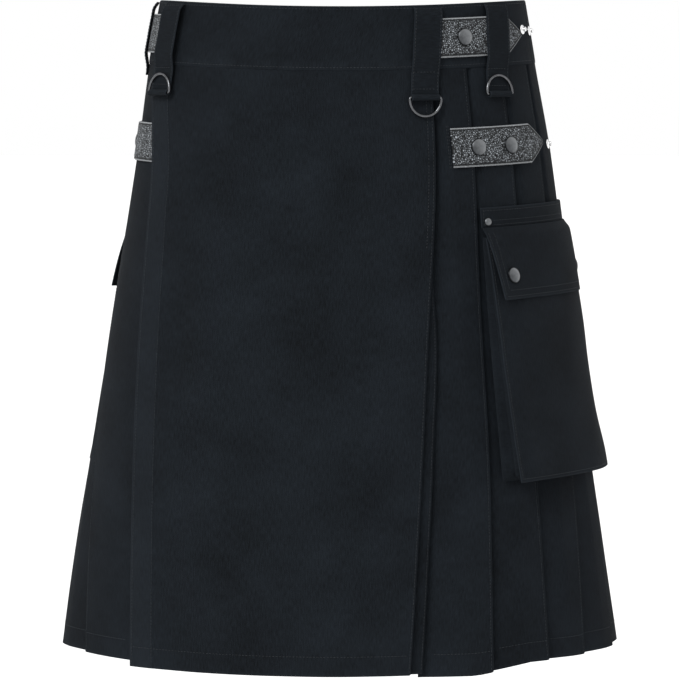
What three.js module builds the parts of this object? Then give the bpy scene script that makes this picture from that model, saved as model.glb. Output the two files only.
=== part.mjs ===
import * as THREE from 'three';

// Gothic kilt: a wrapped skirt of black canvas with knife pleats, a flat apron, a deep waistband,
// belt loops with D-rings, leather straps with snaps at the waist and hips, and two bellows pockets.
// It keeps the hollow shape in which it is worn. Millimetres, +Z up. The wearer faces -Y, so the
// wearer's left is at +X. The origin is the middle of the waist, half way down the waistband.
//
// A place on the garment is an angle round the body (0 at the front, 90 at the wearer's left, 180 at
// the back), a distance down from the top edge, and a distance out from the skirt's outer face.

// Driving sizes
const RIM = 29;                // height of the front top edge above the origin
const SIDE_RISE = 7;           // how much higher the top edge sits at the hips
const BAND = 58;               // height of the waistband
const BAND_WALL = 3;           // its layers together
const BAND_PROUD = 1;          // how far it stands out from the skirt below it
const CLOTH = 1.3;             // one layer of canvas with its turnings
const SEAM = 0.3;              // gap between pieces that are sewn to each other
const REST = 0.35;             // gap under a piece that lies on another
const APRON_HEM = 607;         // length of the apron from the top edge
const PLEAT_HEM = 603;         // length of the pleated part
const WRAP = 6.9;              // how far the apron's free edge lies outside the hip below it
const CENTRE_BACK = 152;       // angle of the back seam, since the kilt is worn turned a little
const FACING = 24;             // width of the turned-in band along the apron's free edge
const FACING_EXTRA = 1.1;      // its extra thickness
const FACING_STEP = 0.2;       // degrees over which that thickness ends
const LAP_SHARE = 0.35;        // width of the apron's last column, as a share of the others
const UNDER_END = 20;          // angle where the waistband's inner end lies, inside the front
const BAND_LEFT_SEAM = 78;     // angles of the seams of the waistband
const BAND_RIGHT_SEAM = -64;
const BAND_SEAM_TURN = 0.12;   // degrees that keep its ends a seam apart
const SKIRT_ROWS = [BAND + SEAM, 104, 150, 222, 300, 370, 440, 500, 555];

const HEM_DROP = 8;            // how much lower the first pleat beside the lap hangs
const HEM_DROP_FROM = 28;      // angle up to which it hangs so low
const HEM_DROP_TO = 42;        // angle where the pleats have come up to their own hem
const HEM_DROP_START = 500;    // distance down where the drop begins

// The skirt's outline: distance down, half width, depth to the front and to the back, and how far its
// middle lies towards the wearer's left
const SECTIONS = [
  { down: 0, half: 170.8, front: 118, back: 118, shift: 0.5 },
  { down: 60, half: 181.2, front: 122, back: 124, shift: 0.2 },
  { down: 150, half: 195.5, front: 130, back: 138, shift: 2 },
  { down: 300, half: 217.5, front: 143, back: 160, shift: -0.5 },
  { down: 450, half: 241, front: 157, back: 183, shift: -1.5 },
  { down: 608, half: 265, front: 171, back: 207, shift: -2.5 },
];

// Angles of the folds that set the look: the apron's free edge, its lap on the wearer's left, the second
// fold that opens beyond the lap, the first three pleats after it, and the first pleat on the right
const FOLDS = [
  { down: 0, free: -66.5, lap: 27.0, second: 26.8, left1: 39.3, left2: 54.5, left3: 71.5, right1: -101 },
  { down: 58, free: -69.0, lap: 26.7, second: 26.5, left1: 39.0, left2: 54.0, left3: 71.0, right1: -100 },
  { down: 150, free: -62.3, lap: 25.3, second: 25.1, left1: 37.8, left2: 53.0, left3: 69.7, right1: -95.5 },
  { down: 222, free: -59.6, lap: 23.6, second: 23.5, left1: 37.0, left2: 52.2, left3: 68.8, right1: -91.5 },
  { down: 310, free: -56.6, lap: 21.2, second: 23.9, left1: 36.4, left2: 51.2, left3: 67.3, right1: -86.3 },
  { down: 400, free: -53.2, lap: 18.9, second: 21.8, left1: 35.7, left2: 50.0, left3: 66.0, right1: -79.8 },
  { down: 500, free: -49.3, lap: 16.5, second: 19.4, left1: 34.0, left2: 48.6, left3: 63.2, right1: -71.0 },
  { down: 608, free: -45.5, lap: 14.1, second: 16.9, left1: 32.2, left2: 47.2, left3: 59.7, right1: -63.6 },
];

// How the pleats lie: the step between their layers, the share of a pleat's width that is folded under,
// and how far a face sinks before it reaches its fold
const PLEATS = [
  { down: 58, step: 1.9, share: 0.8, sink: 0.1 },
  { down: 222, step: 2.3, share: 0.65, sink: 0.3 },
  { down: 400, step: 2.9, share: 0.45, sink: 0.7 },
  { down: 608, step: 3.7, share: 0.3, sink: 1.2 },
];
const LEFT_PLEATS = 9;         // folds on the wearer's left, with the three of the table above
const RIGHT_PLEATS = 11;       // folds on the wearer's right
const PLEATS_A_PIECE = 3;      // pleats cut in one panel of cloth
const PANEL_START = 3;         // how far beyond the lap's folds the first panel on the left starts
const SIDE_START = 12;         // how far beyond the apron's free edge the first panel on the right starts
const FIRST_FACE = 34;         // width of the first pleat's face that its fold is worked out from
const FOLD_GAP = 1.6;          // from a fold to where the next pleat's face comes out from under it
const FACE_RISE = 2;           // from a pleat's hidden end to where its face starts to rise
const LAP_TUCK = [
  { down: 58, tuck: 8 },
  { down: 222, tuck: 10 },
  { down: 608, tuck: 22 },
];

// The pockets: how far their front face stands out at its front side, in its middle and at its back side
const POUCH = [
  { down: 205, front: 5.0, middle: 5.0, back: 5.0 },
  { down: 222, front: 9.0, middle: 6.7, back: 6.2 },
  { down: 250, front: 13.5, middle: 8.5, back: 7.2 },
  { down: 305, front: 17.5, middle: 10.0, back: 8.5 },
  { down: 370, front: 21.0, middle: 10.0, back: 7.5 },
  { down: 436, front: 26.0, middle: 12.0, back: 12.0 },
];
const POUCH_ROWS = [214, 228, 250, 305, 370, 436];
const FLAP_ROWS = [205, 214, 228, 250, 270];
const POCKET_WIDTH = 180;
const POCKET_COLUMNS = 12;
const POCKET_TOP = 187;
const POCKET_SEAM = FLAP_ROWS[0];                      // where the top band ends and the flap starts
const POUCH_TOP = POUCH_ROWS[0];
const POUCH_FOOT = POUCH_ROWS[POUCH_ROWS.length - 1];
const FLAP_FOOT = FLAP_ROWS[FLAP_ROWS.length - 1];
const POCKET_WALL = 1.3;
const GUSSET_WALL = 1.6;       // the bellows strip, with its turnings
const POCKET_BACK = 2.3;       // middle of the pouch's back panel
const POCKET_BAND = 2.6;       // outer face of the top band
const POCKET_INSET = 6;        // how much narrower the pouch's front is than its back at the foot
const BELLOWS = 0.32;          // how deep the side folds go in, as a share of the pouch's depth
const FLAP_START = 3.3;        // middle of the flap where it comes out from under the band
const FLAP_RISE = 2.1;         // from the pouch's front face to the flap over it
const FLARE_WIDTH = 60;        // how much of the flap from its front side stands off at the foot
const FLARE_BEND = 0.7;        // how soon it stands off below the band: 1 is evenly, less is sooner
const FLAP_INSET = 6;          // how much narrower the flap is at each side of its foot
const POCKETS = [
  { side: 'left', front: 38.3, turn: 1, swell: 1, flare: 8 },
  { side: 'right', front: -106.5, turn: -1, swell: 0.52, flare: 9 },
];

// Belt loops: angles at the top and the foot, and the room under them at the waistband
const LOOP_WIDTH = 26;
const LOOP_WALL = 1.3;
const TUNNEL = 2.3;            // radius of the middle of the cloth round a ring's bar
const TUNNEL_DOWN = 83.5;
const TUNNEL_ENTRY = 2.5;      // how far above a ring's bar the loop starts to turn round it
const LOOP_LIFT = 2.3;         // middle of a loop above the cloth where it runs down to its ring
const LOOP_TOP = 1.5;          // distances down where a loop is sewn on, stands free, turns in and ends
const LOOP_FREE = 7;
const LOOP_TURN = 49;
const LOOP_DOWN = 62;
const LOOP_END = 69;
const APRON_LOOP_REST = 0.5;   // extra gap under the loop that lies on the apron
const LOOPS = [
  { name: 'centre', top: 26.8, foot: 23.6, room: 3.6, ring: 'hanging' },
  { name: 'left', top: 54.2, foot: 50.0, room: 3.6, ring: 'up' },
  { name: 'right', top: -59.6, foot: -60.6, room: 4.6, ring: 'up' },
  { name: 'side_right', top: -91, foot: -91, room: 3.4, ring: null },
  { name: 'back_left', top: 127, foot: 127, room: 4.6, ring: null },
  { name: 'back_right', top: -178, foot: -178, room: 4.6, ring: null },
];

// D-rings
const WIRE = 1.25;
const RING_HALF = 15;          // from the ring's middle to the middle of its wire at the side
const RING_DROP = 17.2;        // from its bar to the far side of its bow
const RING_CORNER = 1.8;

// Leather straps: the angles of their ends and the line that they follow
const STRAP_HEIGHT = 35;
const STRAP_WALL = 2.5;
const STRAP_POINT = 23;        // length of the pointed tip
const STRAP_TIP = 3;           // height left at its end
const STRAPS = [
  { name: 'waist_left', from: 27.5, to: 68, down: 30.2, base: BAND_PROUD },
  { name: 'waist_right', from: -66, to: -118, down: 30.2, base: BAND_PROUD },
  { name: 'hip_left', from: 30.8, to: 71.9, down: 130.6, base: 0 },
  { name: 'hip_right', from: -61, to: -120, down: 130.6, base: 0 },
];

// Snap caps, rivets and studs: outline from the middle of the face to the rim and the flat back
const SNAP = [[0, 3.1], [2.6, 2.95], [5.0, 2.3], [6.6, 1.4], [7.4, 0.5], [7.4, 0], [0, 0]];
const STRAP_SNAP = [[0, 3.1], [2.8, 2.95], [5.4, 2.3], [7.1, 1.4], [8, 0.5], [8, 0], [0, 0]];
const RIVET = [[0, 1.7], [2.0, 1.5], [3.2, 1.0], [3.8, 0.3], [3.8, 0], [0, 0]];
const STUD = [[0, 4.2], [1.6, 4.0], [2.2, 3.4], [1.8, 1.4], [4.4, 0.9], [4.4, 0], [0, 0]];
const STRAP_TOP = REST + STRAP_WALL + SEAM;
const FASTENERS = [
  { name: 'snap_waist_left', outline: STRAP_SNAP, angle: 38.8, down: 30, out: BAND_PROUD + STRAP_TOP },
  { name: 'snap_waist_right', outline: STRAP_SNAP, angle: -104.5, down: 30.2, out: BAND_PROUD + STRAP_TOP },
  { name: 'snap_hip_left_1', outline: STRAP_SNAP, angle: 39.3, down: 130.8, out: STRAP_TOP },
  { name: 'snap_hip_left_2', outline: STRAP_SNAP, angle: 52, down: 130.8, out: STRAP_TOP },
  { name: 'snap_hip_right_1', outline: STRAP_SNAP, angle: -97.5, down: 130.6, out: STRAP_TOP },
  { name: 'snap_hip_right_2', outline: STRAP_SNAP, angle: -108, down: 130.6, out: STRAP_TOP },
  { name: 'stud_waist_1', outline: STUD, angle: 71, down: 26.4, out: BAND_PROUD + SEAM },
  { name: 'stud_waist_2', outline: STUD, angle: 79.5, down: 28, out: BAND_PROUD + SEAM },
  { name: 'stud_hip', outline: STUD, angle: 79.5, down: 133.5, out: REST },
];
const RIVET_IN = 6;            // from a pocket's side to its rivet
const RIVET_DOWN = 199.5;
const FLAP_SNAP_IN = 20;       // from a flap's side to its snap
const FLAP_SNAP_DOWN = 248.5;
const FLAP_SNAP_GAP = 0.8;     // room under a cap for the flap's curve

const canvas = () => new THREE.MeshStandardMaterial({ color: 0x1e2326, roughness: 0.9, metalness: 0 });
const leather = () => new THREE.MeshStandardMaterial({ color: 0x4c5053, roughness: 0.5, metalness: 0 });
const gunmetal = () => new THREE.MeshStandardMaterial({ color: 0x5b5e61, roughness: 0.35, metalness: 1 });
const steel = () => new THREE.MeshStandardMaterial({ color: 0xc9cbcc, roughness: 0.25, metalness: 1 });

const RAD = Math.PI / 180;
const mix = (a, b, t) => a + (b - a) * t;
const clamp = (t) => Math.min(1, Math.max(0, t));

// A column of a table at a height, on a smooth curve through its rows
function smooth(table, column, down) {
  const last = table.length - 2;
  let k = 0;
  while (k < last && down > table[k + 1].down) k++;
  const slope = (i) => {
    const before = table[Math.max(i - 1, 0)];
    const after = table[Math.min(i + 1, table.length - 1)];
    return (after[column] - before[column]) / (after.down - before.down);
  };
  const span = table[k + 1].down - table[k].down;
  const t = (down - table[k].down) / span;
  const ease = t * t * (3 - 2 * t);
  const bend = slope(k) * t * (1 - t) ** 2 - slope(k + 1) * t * t * (1 - t);
  return mix(table[k][column], table[k + 1][column], ease) + span * bend;
}

// The point at an angle, a distance down and a distance out
function at(angle, down, out = 0) {
  const turn = angle * RAD;
  const half = smooth(SECTIONS, 'half', down);
  const depth = smooth(SECTIONS, Math.cos(turn) >= 0 ? 'front' : 'back', down);
  const normal = new THREE.Vector2(depth * Math.sin(turn), -half * Math.cos(turn)).normalize();
  return new THREE.Vector3(
    smooth(SECTIONS, 'shift', down) + half * Math.sin(turn) + out * normal.x,
    -depth * Math.cos(turn) + out * normal.y,
    RIM - down + SIDE_RISE * Math.sin(turn) ** 2,
  );
}

// Millimetres of cloth for each degree of turn
function reach(angle, down) {
  return at(angle - 0.5, down).distanceTo(at(angle + 0.5, down));
}

// The angle reached by going round the body from one angle for a number of millimetres
function along(angle, distance, down) {
  const steps = Math.max(2, Math.ceil(Math.abs(distance) / 12));
  let place = angle;
  for (let i = 0; i < steps; i++) {
    const half = place + distance / steps / reach(place, down) / 2;
    place += distance / steps / reach(half, down);
  }
  return place;
}

function arc(from, to, down) {
  const steps = 24;
  let sum = 0;
  for (let i = 0; i < steps; i++) {
    sum += reach(mix(from, to, (i + 0.5) / steps), down) * Math.abs(to - from) / steps;
  }
  return sum;
}

// How far the wrap has gone at an angle: 0 at the lap and 1 at the apron's free edge
function wrapped(angle, down) {
  return clamp((5 - angle) / (5 - smooth(FOLDS, 'free', down)));
}

// A mesh from points and triangles, with its faces turned outward
function solid(name, material, points, triangles) {
  let volume = 0;
  const cross = new THREE.Vector3();
  for (let i = 0; i < triangles.length; i += 3) {
    const [a, b, c] = [points[triangles[i]], points[triangles[i + 1]], points[triangles[i + 2]]];
    volume += a.dot(cross.crossVectors(b, c));
  }
  const faces = volume > 0 ? triangles : triangles.slice().reverse();
  const geometry = new THREE.BufferGeometry();
  geometry.setAttribute('position', new THREE.Float32BufferAttribute(points.flatMap((p) => p.toArray()), 3));
  geometry.setIndex(faces);
  geometry.computeVertexNormals();
  const mesh = new THREE.Mesh(geometry, material);
  mesh.name = name;
  return mesh;
}

// A wall between two sheets of points, closed along its four sides
function wall(name, material, columns, rows, outer, inner) {
  const points = [];
  for (const sheet of [outer, inner]) {
    for (let i = 0; i <= columns; i++) {
      for (let j = 0; j <= rows; j++) points.push(sheet(i, j));
    }
  }
  const triangles = [];
  const quad = (a, b, c, d) => triangles.push(a, b, c, a, c, d);
  const out = (i, j) => i * (rows + 1) + j;
  const back = (i, j) => (columns + 1) * (rows + 1) + out(i, j);
  for (let i = 0; i < columns; i++) {
    for (let j = 0; j < rows; j++) {
      quad(out(i, j), out(i + 1, j), out(i + 1, j + 1), out(i, j + 1));
      quad(back(i, j), back(i, j + 1), back(i + 1, j + 1), back(i + 1, j));
    }
    quad(out(i, 0), back(i, 0), back(i + 1, 0), out(i + 1, 0));
    quad(out(i, rows), out(i + 1, rows), back(i + 1, rows), back(i, rows));
  }
  for (let j = 0; j < rows; j++) {
    quad(out(0, j), out(0, j + 1), back(0, j + 1), back(0, j));
    quad(out(columns, j), back(columns, j), back(columns, j + 1), out(columns, j + 1));
  }
  return solid(name, material, points, triangles);
}

// The two faces of a line of cloth seen from above, which keep its thickness round its folds
function thicken(line, closed, thickness, extra = () => 0) {
  const count = line.length;
  const normal = (i) => {
    const a = line[(i + count) % count];
    const b = line[(i + 1 + count) % count];
    return new THREE.Vector2(b.y - a.y, a.x - b.x).normalize();
  };
  return line.map((point, i) => {
    const before = normal(closed || i > 0 ? i - 1 : 0);
    const after = normal(closed || i < count - 1 ? i : count - 2);
    const mitre = before.clone().add(after).divideScalar(1 + before.dot(after));
    const shift = (amount) => {
      return new THREE.Vector3(point.x + mitre.x * amount, point.y + mitre.y * amount, point.z);
    };
    return { outer: shift(thickness / 2), inner: shift(-thickness / 2 - extra(i)) };
  });
}

// Cloth folded along a path of angle and out, which is worked out at each row
function foldedCloth(name, rows, path, { extra, drop = () => 0 } = {}) {
  const sections = rows.map((down) => {
    const line = path(down).map(([angle, out]) => at(angle, down + drop(angle, down), out - CLOTH / 2));
    return thicken(line, false, CLOTH, extra);
  });
  const count = sections[0].length;
  return wall(name, canvas(), count - 1, rows.length - 1,
    (i, j) => sections[j][i].outer, (i, j) => sections[j][i].inner);
}

// A prism whose end outlines lie in (down, out), carried to both sides of a line
function strip(name, material, outline, place) {
  const count = outline.length;
  const points = [-0.5, 0.5].flatMap((side) => outline.map(([down, out]) => place(down, out, side)));
  const flat = outline.map(([down, out]) => new THREE.Vector2(down, out));
  const triangles = [];
  for (const [a, b, c] of THREE.ShapeUtils.triangulateShape(flat, [])) {
    triangles.push(a, c, b, a + count, b + count, c + count);
  }
  const clockwise = THREE.ShapeUtils.isClockWise(flat);
  for (let i = 0; i < count; i++) {
    const next = (i + 1) % count;
    const side = clockwise ? [next, i, next + count, i, i + count, next + count]
      : [i, next, next + count, i, next + count, i + count];
    triangles.push(...side);
  }
  return solid(name, material, points, triangles);
}

const model = new THREE.Group();
const skirtRows = (hem) => [...SKIRT_ROWS, hem];

// Waistband: the apron's length, the hips and back, and the end that lies inside the front
function waistband(name, from, to, columns, outerFace) {
  const rows = [0, BAND / 2, BAND];
  const angle = (i, j) => mix(from(rows[j]), to(rows[j]), i / columns);
  const point = (depth) => (i, j) => at(angle(i, j), rows[j], outerFace(angle(i, j), rows[j]) - depth);
  model.add(wall(name, canvas(), columns, rows.length - 1, point(0), point(BAND_WALL)));
}
const overWrap = (angle, down) => BAND_PROUD + WRAP * wrapped(angle, down);
const underWrap = (angle, down) => BAND_PROUD - WRAP * (1 - wrapped(angle, down));
const leftSeam = BAND_LEFT_SEAM + BAND_SEAM_TURN;
const rightSeam = BAND_RIGHT_SEAM + BAND_SEAM_TURN;
waistband('waistband_front', (down) => smooth(FOLDS, 'free', down), () => BAND_LEFT_SEAM, 24, overWrap);
waistband('waistband_back', () => leftSeam, () => 360 + BAND_RIGHT_SEAM, 30, () => BAND_PROUD);
waistband('waistband_under', () => rightSeam, () => UNDER_END, 12, underWrap);

// Apron: flat from its free edge to the lap, with two folds tucked in behind the lap
function apronPath(down) {
  const columns = 12;
  const free = smooth(FOLDS, 'free', down);
  const lap = smooth(FOLDS, 'lap', down);
  const second = smooth(FOLDS, 'second', down);
  const step = smooth(PLEATS, 'step', down);
  const tuck = smooth(LAP_TUCK, 'tuck', down);
  const inside = (angle) => along(angle, -tuck, down);
  const facingEnd = along(free, FACING, down);
  const spread = (angle) => [angle, WRAP * wrapped(angle, down)];
  const edge = [free, (free + facingEnd) / 2, facingEnd, facingEnd + FACING_STEP].map(spread);
  const flat = Array.from({ length: columns }, (_, i) => {
    return spread(mix(facingEnd, lap, (i + 1) / (columns + LAP_SHARE)));
  });
  return [...edge, ...flat, [lap, 0], [lap, -step], [inside(lap), -step], [inside(lap), -2 * step],
    [second, -2 * step], [second, -3 * step], [inside(second), -3 * step], [inside(second), -4 * step],
    [along(second, -PANEL_START - SEAM / 2, down), -4 * step]];
}
const facing = (i) => (i < 3 ? FACING_EXTRA : 0);
model.add(foldedCloth('apron', skirtRows(APRON_HEM), apronPath, { extra: facing }));

// Under apron: a plain sheet inside the front, from the first pleat on the right to its own free edge
function underPath(down) {
  const columns = 9;
  const from = along(smooth(FOLDS, 'free', down), SIDE_START, down);
  const to = along(smooth(FOLDS, 'lap', down), -smooth(LAP_TUCK, 'tuck', down) - SIDE_START, down);
  return Array.from({ length: columns + 1 }, (_, i) => {
    const angle = mix(from, to, i / columns);
    return [angle, -WRAP * (1 - wrapped(angle, down))];
  });
}
model.add(foldedCloth('under_apron', skirtRows(PLEAT_HEM), underPath));

// Angles of all the folds of one side at a height, from the first to the one at the back seam
function foldAngles(side, down) {
  const given = side > 0 ? ['left1', 'left2', 'left3'] : ['right1'];
  const angles = given.map((column) => smooth(FOLDS, column, down));
  const count = side > 0 ? LEFT_PLEATS : RIGHT_PLEATS;
  const back = side > 0 ? CENTRE_BACK : CENTRE_BACK - 360;
  const from = angles[angles.length - 1];
  const width = (arc(from, back, down) - 2) / (count - angles.length);
  while (angles.length < count) angles.push(along(angles[angles.length - 1], side * width, down));
  return angles;
}

// The folded path of some of the pleats of a side, each from its face to the end of its hidden layer
function pleatPath(side, first, last, down) {
  const angles = foldAngles(side, down);
  const step = smooth(PLEATS, 'step', down);
  const share = smooth(PLEATS, 'share', down);
  const sink = smooth(PLEATS, 'sink', down);
  const left = side > 0;
  const go = (angle, distance) => along(angle, side * distance, down);
  const under = (k) => share * arc(k > 0 ? angles[k - 1] : go(angles[0], -FIRST_FACE), angles[k], down);
  const start = smooth(FOLDS, left ? 'second' : 'free', down);
  const firstDepth = left ? 4 * step : 0;
  const path = [];
  if (first > 0) path.push([go(angles[first - 1], -under(first - 1)), -2 * step]);
  else path.push([go(start, SEAM / 2 - (left ? PANEL_START : SIDE_START - SEAM / 2)), -firstDepth]);
  for (let k = first; k <= last; k++) {
    const inner = go(angles[k], -under(k));
    const depth = k > 0 ? 2 * step : firstDepth;
    const rise = k > 0 || left ? sink : 0;
    path.push([go(k > 0 ? angles[k - 1] : start, FOLD_GAP), -depth]);
    path.push([go(inner, -FACE_RISE), -rise], [angles[k], 0], [angles[k], -step], [inner, -step]);
    if (k < last || last === angles.length - 1) path.push([inner, -2 * step]);
  }
  if (last === angles.length - 1) {
    const seam = left ? CENTRE_BACK : CENTRE_BACK - 360;
    path.push([go(seam, -SEAM / 2), -2 * step]);
  }
  return path;
}

// How much lower the cloth hangs beside the lap
function hemDrop(angle, down) {
  const near = clamp((HEM_DROP_TO - Math.abs(angle)) / (HEM_DROP_TO - HEM_DROP_FROM));
  return HEM_DROP * near * clamp((down - HEM_DROP_START) / (PLEAT_HEM - HEM_DROP_START)) ** 2;
}

for (const [word, side, count] of [['left', 1, LEFT_PLEATS], ['right', -1, RIGHT_PLEATS]]) {
  for (let first = 0; first < count; first += PLEATS_A_PIECE) {
    const panel = first / PLEATS_A_PIECE + 1;
    const last = Math.min(first + PLEATS_A_PIECE, count) - 1;
    const path = (down) => pleatPath(side, first, last, down);
    model.add(foldedCloth(`pleats_${word}_${panel}`, skirtRows(PLEAT_HEM), path, { drop: hemDrop }));
  }
}

// A pocket's front face: how far it stands out, a distance in from its front side
function pouchOut(pocket, inward, down) {
  const half = POCKET_WIDTH / 2;
  const fromMiddle = clamp(Math.abs(inward - half) / half);
  const end = smooth(POUCH, inward < half ? 'front' : 'back', down);
  const full = mix(smooth(POUCH, 'middle', down), end, fromMiddle ** 2);
  return mix(POUCH[0].middle, full, pocket.swell);
}

// The flap over it, whose foot stands off near the front side
function flapOut(pocket, inward, down) {
  if (down <= POCKET_SEAM) return FLAP_START;
  const lower = clamp((down - POUCH_TOP) / (FLAP_FOOT - POUCH_TOP));
  const nearFront = clamp(1 - inward / FLARE_WIDTH);
  const flare = pocket.flare * lower ** FLARE_BEND * nearFront ** 2;
  return pouchOut(pocket, inward, down) + FLAP_RISE + flare;
}
function pocketPlace(pocket) {
  return (inward, down, out) => at(along(pocket.front, pocket.turn * inward, down), down, out);
}

// The bellows: a strip folded in along its middle that runs down one side, along the foot and up the other
function gusset(pocket) {
  const place = pocketPlace(pocket);
  const inset = (down) => POCKET_INSET * (down - POUCH_TOP) / (POUCH_FOOT - POUCH_TOP);
  const stations = [];
  for (const down of POUCH_ROWS.slice(0, -1)) stations.push({ share: 0, down, in: 1, up: 0 });
  stations.push({ share: 0, down: POUCH_FOOT, in: 1, up: 1 });
  for (let i = 1; i < POCKET_COLUMNS; i++) {
    stations.push({ share: i / POCKET_COLUMNS, down: POUCH_FOOT, in: 0, up: 1 });
  }
  stations.push({ share: 1, down: POUCH_FOOT, in: -1, up: 1 });
  for (const down of POUCH_ROWS.slice(0, -1).reverse()) stations.push({ share: 1, down, in: -1, up: 0 });
  const backOut = POCKET_BACK + POCKET_WALL / 2 + SEAM;
  const point = (i, j, thickness) => {
    const station = stations[i];
    const backEdge = POCKET_WIDTH * station.share;
    const frontEdge = mix(inset(station.down), POCKET_WIDTH - inset(station.down), station.share);
    const sewnTo = pouchOut(pocket, frontEdge + station.in * thickness, station.down);
    const frontOut = sewnTo - POCKET_WALL / 2 - SEAM;
    const fold = thickness + (j === 1 ? BELLOWS * (frontOut - backOut) : 0);
    const inward = mix(backEdge, frontEdge, j / 2) + station.in * fold;
    return place(inward, station.down - station.up * fold, mix(backOut, frontOut, j / 2));
  };
  return wall(`pocket_${pocket.side}_gusset`, canvas(), stations.length - 1, 2,
    (i, j) => point(i, j, 0), (i, j) => point(i, j, GUSSET_WALL));
}

// A panel of a pocket with its two faces a wall apart
function panel(pocket, word, rows, inwardAt, outAt, thickness) {
  const place = pocketPlace(pocket);
  const face = (lift) => (i, j) => {
    const inward = inwardAt(i / POCKET_COLUMNS, rows[j]);
    return place(inward, rows[j], outAt(inward, rows[j]) + lift);
  };
  return wall(`pocket_${pocket.side}_${word}`, canvas(), POCKET_COLUMNS, rows.length - 1,
    face(thickness / 2), face(-thickness / 2));
}

for (const pocket of POCKETS) {
  const full = (share) => POCKET_WIDTH * share;
  const tapered = (share, down) => {
    const inset = FLAP_INSET * (down - POCKET_SEAM) / (FLAP_FOOT - POCKET_SEAM);
    return mix(inset, POCKET_WIDTH - inset, share);
  };
  const narrowed = (share, down) => {
    const inset = POCKET_INSET * (down - POUCH_TOP) / (POUCH_FOOT - POUCH_TOP);
    return mix(inset, POCKET_WIDTH - inset, share);
  };
  const front = (inward, down) => pouchOut(pocket, inward, down);
  const flap = (inward, down) => flapOut(pocket, inward, down);
  const bandRows = [POCKET_TOP, POCKET_SEAM - SEAM];
  model.add(
    panel(pocket, 'band', bandRows, full, () => (POCKET_BAND + REST) / 2, POCKET_BAND - REST),
    panel(pocket, 'back', POUCH_ROWS, full, () => POCKET_BACK, POCKET_WALL),
    gusset(pocket),
    panel(pocket, 'front', POUCH_ROWS, narrowed, front, POCKET_WALL),
    panel(pocket, 'flap', FLAP_ROWS, tapered, flap, POCKET_WALL),
  );
}

// A disc turned round the line that points straight out of the cloth
function fastener(name, outline, material, origin, outward) {
  const profile = outline.map(([radius, height]) => new THREE.Vector2(radius, height));
  const geometry = new THREE.LatheGeometry(profile.reverse(), 14);
  const mesh = new THREE.Mesh(geometry, material);
  mesh.name = name;
  mesh.position.copy(origin);
  mesh.quaternion.setFromUnitVectors(new THREE.Vector3(0, 1, 0), outward);
  model.add(mesh);
}

// The direction straight out of a sheet, from a function of a step along it and a step down it
function outwardOf(sheet) {
  const side = sheet(2, 0).sub(sheet(-2, 0));
  const fall = sheet(0, 2).sub(sheet(0, -2));
  const outward = side.cross(fall).normalize();
  return outward.dot(sheet(0, 0).setZ(0)) < 0 ? outward.negate() : outward;
}

for (const { name, outline, angle, down, out } of FASTENERS) {
  const sheet = (side, fall) => at(angle + side / reach(angle, down), down + fall, out);
  fastener(name, outline, outline === STUD ? steel() : gunmetal(), sheet(0, 0), outwardOf(sheet));
}
for (const pocket of POCKETS) {
  const place = pocketPlace(pocket);
  for (const [number, inward] of [[1, 0], [2, POCKET_WIDTH]]) {
    const rivetAt = Math.abs(inward - RIVET_IN);
    const rivetSheet = (side, fall) => place(rivetAt + side, RIVET_DOWN + fall, POCKET_BAND + SEAM);
    fastener(`rivet_${pocket.side}_${number}`, RIVET, gunmetal(), rivetSheet(0, 0), outwardOf(rivetSheet));
    const snapAt = Math.abs(inward - FLAP_SNAP_IN);
    const snapSheet = (side, fall) => {
      const out = flapOut(pocket, snapAt + side, FLAP_SNAP_DOWN + fall) + POCKET_WALL / 2 + FLAP_SNAP_GAP;
      return place(snapAt + side, FLAP_SNAP_DOWN + fall, out);
    };
    fastener(`snap_pocket_${pocket.side}_${number}`, SNAP, gunmetal(), snapSheet(0, 0), outwardOf(snapSheet));
  }
}

// Leather straps that lie on the waistband and the hips and end in a point
for (const { name, from, to, down, base } of STRAPS) {
  const bodyColumns = 12;
  const tipColumns = 3;
  const columns = bodyColumns + tipColumns;
  const body = arc(from, to, down) - STRAP_POINT;
  const turn = Math.sign(to - from);
  const tip = (i) => clamp((i - bodyColumns) / tipColumns);
  const inward = (i) => body * Math.min(1, i / bodyColumns) + STRAP_POINT * tip(i);
  const height = (i) => mix(STRAP_HEIGHT, STRAP_TIP, tip(i));
  const face = (out) => (i, j) => {
    const row = down + height(i) * (j / 2 - 0.5);
    return at(along(from, turn * inward(i), row), row, base + out);
  };
  model.add(wall(`strap_${name}`, leather(), columns, 2, face(REST + STRAP_WALL), face(REST)));
}

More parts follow.
